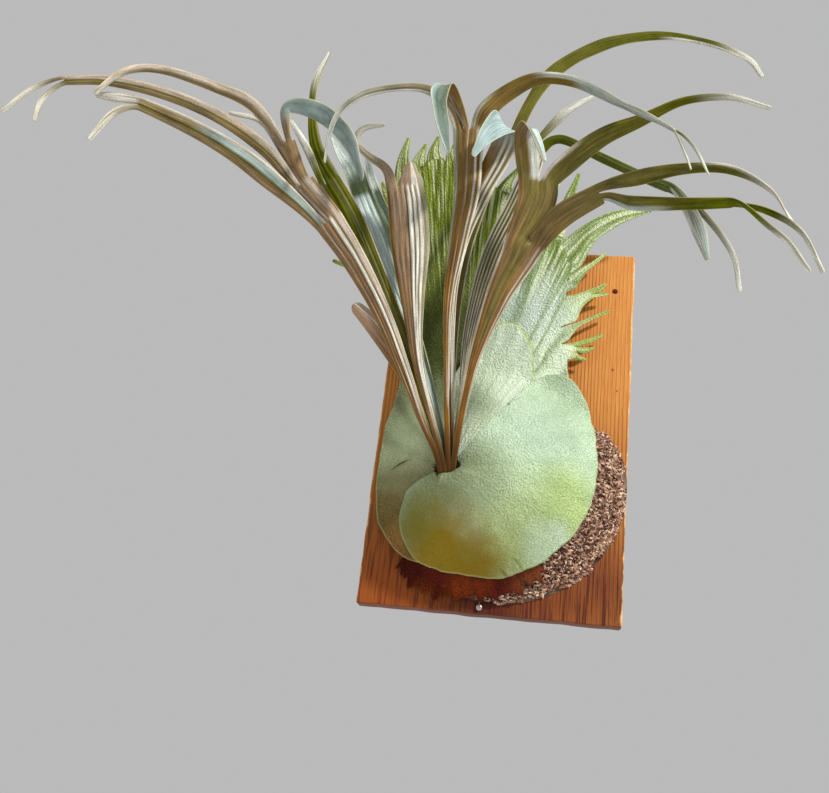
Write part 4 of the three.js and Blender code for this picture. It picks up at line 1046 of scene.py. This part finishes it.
for name, node, slot, frond in (
        ("frondLeftLong", "frond_left_long", "tan_frond", frondLeftLong),
        ("frondLeftOlive", "frond_left_olive", "olive_frond", frondLeftOlive),
        ("frondLeftBlue", "frond_left_blue", "blue_green_frond", frondLeftBlue),
        ("frondCentreWide", "frond_centre_wide", "tan_frond", frondCentreWide),
        ("frondCentreTall", "frond_centre_tall", "tan_frond", frondCentreTall),
        ("frondCentreBlue", "frond_centre_blue", "blue_green_frond", frondCentreBlue),
        ("frondRightMain", "frond_right_main", "tan_frond", frondRightMain),
        ("frondBackTall", "frond_back_tall", "olive_frond", frondBackTall),
        ("frondBackLow", "frond_back_low", "olive_frond", frondBackLow),
        ("frondYoungLeft", "frond_young_left", "tan_frond", frondYoungLeft)):
    growFrond(name, node, frond)


# Root ball

def barkMaterial(name, light, dark, soil):
    material, place = newMaterial(name)
    draw, depth = attributeOf(place, "tone")[::2]
    grain = noiseOf(stretched(place, 0.25), 700, 4, 0.7)
    fine = noiseOf(place, 1500, 3, 0.7)
    colour = blend(rangeOf(grain, 0.4, 0.72, 0, 0.5), blend(draw, dark, light), soil)
    colour = blend(rangeOf(fine, 0.5, 0.8, 0, 0.4), colour, light)
    # the third tone value darkens towards near black: on the ball's own surface it is dark fibre deepened by
    # painted shade in its hollows, on the chips a random darker tone
    colour = blend(depth, colour, (26, 12, 8))
    return setShader(material, colour, 0.85, grain + fine * 0.4, 0.0006, 0.9, Specular_IOR_Level=0.2)


def shoulderAt(turn):
    # how strongly the ball's upper right shoulder is drawn in, from 0 to 1
    return hump((turn - shoulder["angle"] + 180) % 360 - 180, shoulder["spread"])


def ballOutline(turn):
    return ball["radius"] - shoulder["inset"] * shoulderAt(turn)


def ballPlace(turn, distance, reach):
    # x, z and the height over the board, with the height falling at the drawn-in shoulder
    x = ball["x"] + distance * math.cos(math.radians(turn))
    z = ball["z"] + distance * math.sin(math.radians(turn))
    return x, z, ballHeight(x, z) * (1 - shoulder["drop"] * shoulderAt(turn) * smoothStep(reach, 0.84, 1))


# the bank is where most chips lie, in degrees round the ball and as a share of its radius
bark = {"chips": 6600, "smallest": 0.45, "largest": 2.3, "thickness": 0.4, "dents": 0.22, "seed": 21,
        "bank": (-96, 38), "bankDepth": 0.34, "edgeFrom": 0.93, "skirt": 0.94, "bared": 2.4, "rough": 1.6}

mound = bmesh.new()
moundTone = mound.verts.layers.float_vector.new("tone")
bmesh.ops.create_grid(mound, x_segments=180, y_segments=40, size=1)
for vert in mound.verts:
    turn, reach = (vert.co.x + 1) * 180, (vert.co.y + 1) / 2
    inside = min(1, reach / bark["skirt"])
    x, z, height = ballPlace(turn, ballOutline(turn) * (0.04 + 0.96 * inside), inside)
    rough = bark["rough"] * (wander(x, z, 5, 7) + 0.6 * wander(x, z, 9, 2.6)) - bark["rough"]
    # chips lie on the bank, so its own surface is lower there
    bared = bark["bared"] * smoothStep(reach, 0.6, 0.72) * smoothStep(turn, 0, 1)
    height = max(0.6, height + rough - bared)
    if reach > bark["skirt"]:
        height = mix(height, 0.2, (reach - bark["skirt"]) / (1 - bark["skirt"]))
    vert.co = (x, -board["thickness"] - height, z)
    # the last value darkens the ball's own surface, most in its hollows: painted shade there between the
    # chips
    vert[moundTone] = (0.3 + 0.5 * wander(x, z, 2, 12), 0, 0.62 + 0.35 * smoothStep(-rough, 0.8, 2.6))
bmesh.ops.remove_doubles(mound, verts=mound.verts, dist=0.01)
bmesh.ops.recalc_face_normals(mound, faces=mound.faces)

# one chip in five lies at the ball's edge, the others on the bank at the lower right
drawn = random.Random(bark["seed"])
for first in range(0, bark["chips"], 100):
    batch = bmesh.new()
    tone = batch.verts.layers.float_vector.new("tone")
    for chip in range(first, first + 100):
        if chip % 5 == 0:
            turn, reach = drawn.uniform(0, 360), drawn.uniform(bark["edgeFrom"], 1)
        else:
            turn, reach = drawn.uniform(*bark["bank"]), 1 - bark["bankDepth"] * drawn.random() ** 1.3
        distance = ballOutline(turn) * reach * (0.985 + 0.05 * wander(turn, 0, 3, 5) * reach)
        x, z, height = ballPlace(turn, distance, reach)
        size = mix(bark["smallest"], bark["largest"], drawn.random() ** 2.4)
        y = -board["thickness"] - max(1, height - drawn.uniform(0.3, 2.6))
        long, broad = size * drawn.uniform(1, 1.7), size * drawn.uniform(0.35, 0.8)
        turnBy = Matrix.Rotation(drawn.uniform(0, 6.3), 4, Vector([drawn.gauss(0, 1) for axis in range(3)]))
        stretch = Matrix.Diagonal((long, broad, size * bark["thickness"], 1))
        lying = Matrix.Translation((x, y, z)) @ turnBy @ stretch
        made = bmesh.ops.create_icosphere(batch, subdivisions=1, radius=1, matrix=lying)
        shade = drawn.random()
        for vert in made["verts"]:
            vert.co += Vector([drawn.uniform(-1, 1) for axis in range(3)]) * size * bark["dents"]
            vert[tone] = (shade ** 1.4, 0, 0.3 * (1 - shade) * drawn.random())
    loose = bpy.data.meshes.new("looseChips")
    batch.to_mesh(loose)
    batch.free()
    mound.from_mesh(loose)
    bpy.data.meshes.remove(loose)
moundMaterial = barkMaterial("barkAndFibre", (255, 226, 198), (138, 76, 52), (62, 26, 16))
finishPiece(mound, "rootBall", "root_ball", [moundMaterial], smooth=False)


# Growing bud

budScales = {"count": 260, "length": 5, "width": 0.7, "seed": 5}
# share of the radius, and y
budProfile = [(0, -62), (0.8, -62), (0.95, -76), (1, -82), (0.98, -88), (0.85, -93), (0.5, -97), (0, -98)]

budMesh = bmesh.new()
budTone = budMesh.verts.layers.float_vector.new("tone")
line = [budMesh.verts.new((factor * bud["radius"], y, 0)) for factor, y in budProfile]
for a, b in zip(line, line[1:]):
    budMesh.edges.new((a, b))
bmesh.ops.spin(budMesh, geom=budMesh.verts[:] + budMesh.edges[:], cent=(0, 0, 0), axis=(0, 1, 0),
               angle=2 * math.pi, steps=32, use_merge=True)
bmesh.ops.remove_doubles(budMesh, verts=budMesh.verts, dist=0.01)
bmesh.ops.translate(budMesh, verts=budMesh.verts, vec=(bud["x"], 0, bud["z"]))
cut = bmesh.ops.bisect_plane(budMesh, geom=budMesh.verts[:] + budMesh.edges[:] + budMesh.faces[:],
                             plane_co=(bud["x"], bud["faceY"], bud["z"]), plane_no=(0, -1, bud["slope"]),
                             clear_outer=True)["geom_cut"]
bmesh.ops.holes_fill(budMesh, edges=[e for e in cut if isinstance(e, bmesh.types.BMEdge)], sides=0)
bmesh.ops.recalc_face_normals(budMesh, faces=budMesh.faces)
drawn = random.Random(budScales["seed"])
for hair in range(budScales["count"]):
    angle, out = drawn.uniform(0, 2 * math.pi), bud["radius"] * drawn.random() ** 0.5
    x, z = bud["x"] + out * math.cos(angle), bud["z"] + out * math.sin(angle)
    y = bud["faceY"] + (z - bud["z"]) * bud["slope"]
    lean = Vector((math.cos(angle) * out * 0.09, -1, math.sin(angle) * out * 0.09 + 0.3)).normalized()
    turnBy = Vector((0, 0, 1)).rotation_difference(lean).to_matrix().to_4x4()
    length = budScales["length"] * drawn.uniform(0.4, 1)
    standing = Matrix.Translation(Vector((x, y, z)) + lean * length * 0.3) @ turnBy
    made = bmesh.ops.create_cone(budMesh, cap_ends=True, segments=4, radius1=budScales["width"], radius2=0.08,
                                 depth=length, matrix=standing)
    shade = drawn.random()
    for vert in made["verts"]:
        vert[budTone] = (shade, 0, 0)
budMaterial = barkMaterial("budScales", (92, 62, 38), (38, 24, 14), (30, 18, 10))
finishPiece(budMesh, "growingBud", "growing_bud", [budMaterial])


# Board

boardSpots = [
    spot(-88, -172, 36, (168, 78, 8), 0.3, 0.8), spot(4, -182, 34, (72, 12, 0), 0.9, 0.7),
    spot(60, -170, 22, (96, 34, 8), 0.5, 0.8), spot(104, -150, 30, (84, 26, 4), 0.65, 0.8),
    spot(102, 60, 1.1, (60, 34, 16), 0.8, 0.4), spot(107, 38, 0.9, (60, 34, 16), 0.8, 0.4),
]


def boardMaterial():
    material, place = newMaterial("stainedSoftwood")
    x, y, z = split(place)
    # rings: planes across x that wander slowly along the grain
    rings = x / (board["ringStep"] * mm) + y * 60 + noiseOf(stretched(place, 0.12), 14, 3, 0.5) * 3.2
    late = rangeOf(maths("ABSOLUTE", maths("FRACT", rings) - 0.75), 0, 0.28, 1, 0, smooth=True)
    fibres = noiseOf(stretched(place, 0.03), 1300, 3, 0.7)
    broad = noiseOf(stretched(place, 0.3), 12, 3, 0.5)
    colour = blend(rangeOf(fibres, 0.3, 0.7), (186, 112, 40), (212, 148, 72))
    clear = rangeOf(x, 0.078, 0.1) * rangeOf(z, -0.02, 0.03)
    lines = late * (rangeOf(broad, 0.35, 0.65, 0.3, 0.9) * rangeOf(clear, 0, 1, 1, 0.3))
    colour = blend(lines, colour, (122, 56, 12))
    # darker low down and on the left, soaked streaks at the foot
    darkerLowLeft = rangeOf(z, 0.02, -0.17) * 0.8 + rangeOf(x, 0.09, -0.08) * 0.2
    darkerLowLeft = maths("ADD", darkerLowLeft, (broad - 0.5) * 0.5, clamp=True)
    colour = blend(darkerLowLeft, colour, (130, 66, 10))
    soaked = rangeOf(noiseOf(stretched(place, 0.04), 460, 3, 0.6), 0.49, 0.59)
    colour = blend(soaked * rangeOf(z, -0.06, -0.15, 0, 0.92), colour, (66, 22, 4))
    colour = laySpots(place, colour, boardSpots)
    # the bottom face is darker: painted shade on the board's underside
    colour = blend(rangeOf(z, -0.1862, -0.1872, 0, 0.75), colour, (96, 44, 16))
    # paler wood where the front's upright edges are worn, partly a painted highlight along those edges
    edge = maths("ABSOLUTE", x) + noiseOf(place, 90, 4, 0.6) * 0.006
    worn = rangeOf(edge, 0.1215, 0.1232, 0, 0.85) * rangeOf(y, -0.0155, -0.0172, 0.12, 1)
    colour = blend(worn, colour, (238, 196, 134))
    dirt = rangeOf(noiseOf(place, 220, 4, 0.7), 0.62, 0.74, 0, 0.3)
    colour = blend(dirt, colour, (104, 58, 30))
    roughness, height = rangeOf(fibres, 0.2, 0.8, 0.4, 0.6), late * 0.6 + fibres * 0.5
    return setShader(material, colour, roughness, height, 0.0003, 0.7, Specular_IOR_Level=0.25)


cell = 5
halfWidth, halfHeight = board["width"] / 2, board["height"] / 2
upright = Matrix.Rotation(math.pi / 2, 4, "X")
plank = bmesh.new()
bmesh.ops.create_grid(plank, x_segments=board["width"] // cell, y_segments=board["height"] // cell, size=0.5,
                      matrix=upright @ Matrix.Diagonal((board["width"], board["height"], 1, 1)))
for side in (-1, 1):
    holeAt = Vector((side * hangingHole["x"], 0, hangingHole["z"]))
    near = [f for f in plank.faces if (f.calc_center_median() - holeAt).length < cell * 1.25]
    bmesh.ops.delete(plank, geom=near, context="FACES")
    around = [e for e in plank.edges if e.is_boundary and abs(e.verts[0].co.x) < halfWidth - 1
              and all((v.co - holeAt).length < 4 * cell for v in e.verts)]
    circle = bmesh.ops.create_circle(plank, segments=len(around), radius=hangingHole["radius"],
                                     matrix=Matrix.Translation(holeAt) @ upright)["verts"]
    bmesh.ops.bridge_loops(plank, edges=around + list({e for v in circle for e in v.link_edges}))
for vert in plank.verts:
    x, z = vert.co.x, vert.co.z
    if abs(x) > halfWidth - 1:
        vert.co.x += math.copysign(board["wander"], x) * (wander(x, z, 4, 16) - 0.4)
    if abs(z) > halfHeight - 1:
        vert.co.z += math.copysign(board["wander"], z) * (wander(x, z, 6, 16) - 0.4)
front = vertsIn(bmesh.ops.extrude_face_region(plank, geom=plank.faces[:])["geom"])
bmesh.ops.translate(plank, verts=front, vec=(0, -board["thickness"], 0))
bmesh.ops.recalc_face_normals(plank, faces=plank.faces)
outer = [e for e in plank.edges if e.is_manifold and e.calc_face_angle() > 1
         and all(abs(v.co.x) > halfWidth - 2 or abs(v.co.z) > halfHeight - 2 for v in e.verts)]
bmesh.ops.bevel(plank, geom=outer, offset=board["edge"], segments=3, profile=0.5, affect="EDGES", material=-1)
finishPiece(plank, "board", "board", [boardMaterial()], smooth=False)


# Screws and tie line

def speckledMaterial(name, scale, detail, dark, light):
    material, place = newMaterial(name)
    rough = noiseOf(place, scale, detail, 0.6)
    return material, rough, blend(rangeOf(rough, 0.3, 0.7), dark, light)


screw = {"head": 3, "headHeight": 1.9, "dome": 0.9, "proud": 3.6, "shank": 1.5, "depth": 11,
         "crossReach": 0.55, "crossWidth": 0.12, "recess": 0.9}
zinc, rough, colour = speckledMaterial("dullZinc", 900, 4, (150, 144, 134), (196, 190, 180))
setShader(zinc, colour, rangeOf(rough, 0.3, 0.7, 0.3, 0.5), rough, 0.0001, 0.5, Metallic=1)


def makeScrew(name, node, x, z):
    # a round head with a crossed recess, from a grid pressed into a dome, on a plain shank
    bm = bmesh.new()
    top = -board["thickness"] - screw["proud"]
    bmesh.ops.create_grid(bm, x_segments=16, y_segments=16, size=1)
    cross = []
    for face in bm.faces:
        a, b = abs(face.calc_center_median().x), abs(face.calc_center_median().y)
        if max(a, b) < screw["crossReach"] and min(a, b) < screw["crossWidth"]:
            cross.append(face)
    for vert in bm.verts:
        a, b = vert.co.x, vert.co.y
        u, v = a * math.sqrt(1 - b * b / 2), b * math.sqrt(1 - a * a / 2)
        fall = 1 - math.sqrt(max(0, 1 - (u * u + v * v) * screw["dome"]))
        y = top + screw["headHeight"] * fall * screw["dome"]
        vert.co = (x + u * screw["head"], y, z + v * screw["head"])
    pushed = vertsIn(bmesh.ops.extrude_face_region(bm, geom=cross)["geom"])
    bmesh.ops.translate(bm, verts=pushed, vec=(0, screw["recess"], 0))
    bmesh.ops.delete(bm, geom=cross, context="FACES")
    under, end = top + screw["headHeight"], screw["depth"] - board["thickness"]
    for radius, y in ((screw["head"], under), (screw["shank"], under), (screw["shank"], end)):
        ring = [e for e in bm.edges if e.is_boundary and e.verts[0].co.y > top + 0.05]
        for vert in vertsIn(bmesh.ops.extrude_edge_only(bm, edges=ring)["geom"]):
            away = Vector((vert.co.x - x, vert.co.z - z)).normalized() * radius
            vert.co = (x + away.x, y, z + away.y)
    bmesh.ops.holes_fill(bm, edges=[e for e in bm.edges if e.is_boundary], sides=0)
    bmesh.ops.recalc_face_normals(bm, faces=bm.faces)
    finishPiece(bm, name, node, [zinc])


makeScrew("screwLower", "screw_lower", *pilotHoles[0])
makeScrew("screwUpper", "screw_upper", *pilotHoles[1])

lineMaterial, rough, colour = speckledMaterial("tieLine", 300, 3, (84, 104, 84), (118, 138, 112))
setShader(lineMaterial, colour, 0.35, rough, 0.0001, 0.3)
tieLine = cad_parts["tie_line"]
tieLine.data.materials.clear()
tieLine.data.materials.append(lineMaterial)


# Camera, light and surroundings

scene = bpy.context.scene
# fitted to the board's corners in the photo
right, up, ahead = (0.98843, 0.10304, 0.11128), (-0.0655, -0.37171, 0.92603), (-0.13679, 0.92261, 0.36066)
cameraPlace = (0.04625, -0.92741, -0.33699)
cameraData = bpy.data.cameras.new("camera")
cameraData.lens = 43.43
cameraData.clip_end = 50
camera = bpy.data.objects.new("camera", cameraData)
scene.collection.objects.link(camera)
turned = Matrix((right, up, -Vector(ahead))).transposed().to_4x4()
camera.matrix_world = Matrix.Translation(cameraPlace) @ turned
scene.camera = camera

for name, place, target, size, energy, colour in (
        ("key", (1.6, -1.7, 1.36), (0, -0.1, 0), 0.26, 78, (1, 0.97, 0.91)),
        ("fill", (-1.4, -1.6, 0.1), (0, 0, 0), 1.4, 4, (1, 0.97, 0.93)),
        ("top", (-0.1, -0.3, 1.9), (0, -0.1, 0), 1, 8, (1, 1, 0.97))):
    data = bpy.data.lights.new(name, "AREA")
    data.shape = "DISK"
    data.size, data.energy, data.color = size, energy, colour
    light = bpy.data.objects.new(name, data)
    scene.collection.objects.link(light)
    light.location = place
    light.rotation_euler = (Vector(target) - Vector(place)).to_track_quat("-Z", "Y").to_euler()

scene.view_settings.view_transform = "Standard"
scene.world = bpy.data.worlds.new("paleRoom")
scene.world.use_nodes = True
background = scene.world.node_tree.nodes["Background"].inputs
background["Color"].default_value = (0.95, 0.95, 0.95, 1)
background["Strength"].default_value = 0.52

floorMesh = bmesh.new()
bmesh.ops.create_grid(floorMesh, x_segments=1, y_segments=1, size=12, matrix=Matrix.Translation((0, 0, -1)))
floorData = bpy.data.meshes.new("floor")
floorMesh.to_mesh(floorData)
floorMesh.free()
floor = bpy.data.objects.new("floor", floorData)
scene.collection.objects.link(floor)
paper, place = newMaterial("palePaper")
setShader(paper, blend(noiseOf(place, 3), (0.78, 0.78, 0.78, 1), (0.84, 0.84, 0.84, 1)), 0.9)
floorData.materials.append(paper)
print("stage set")
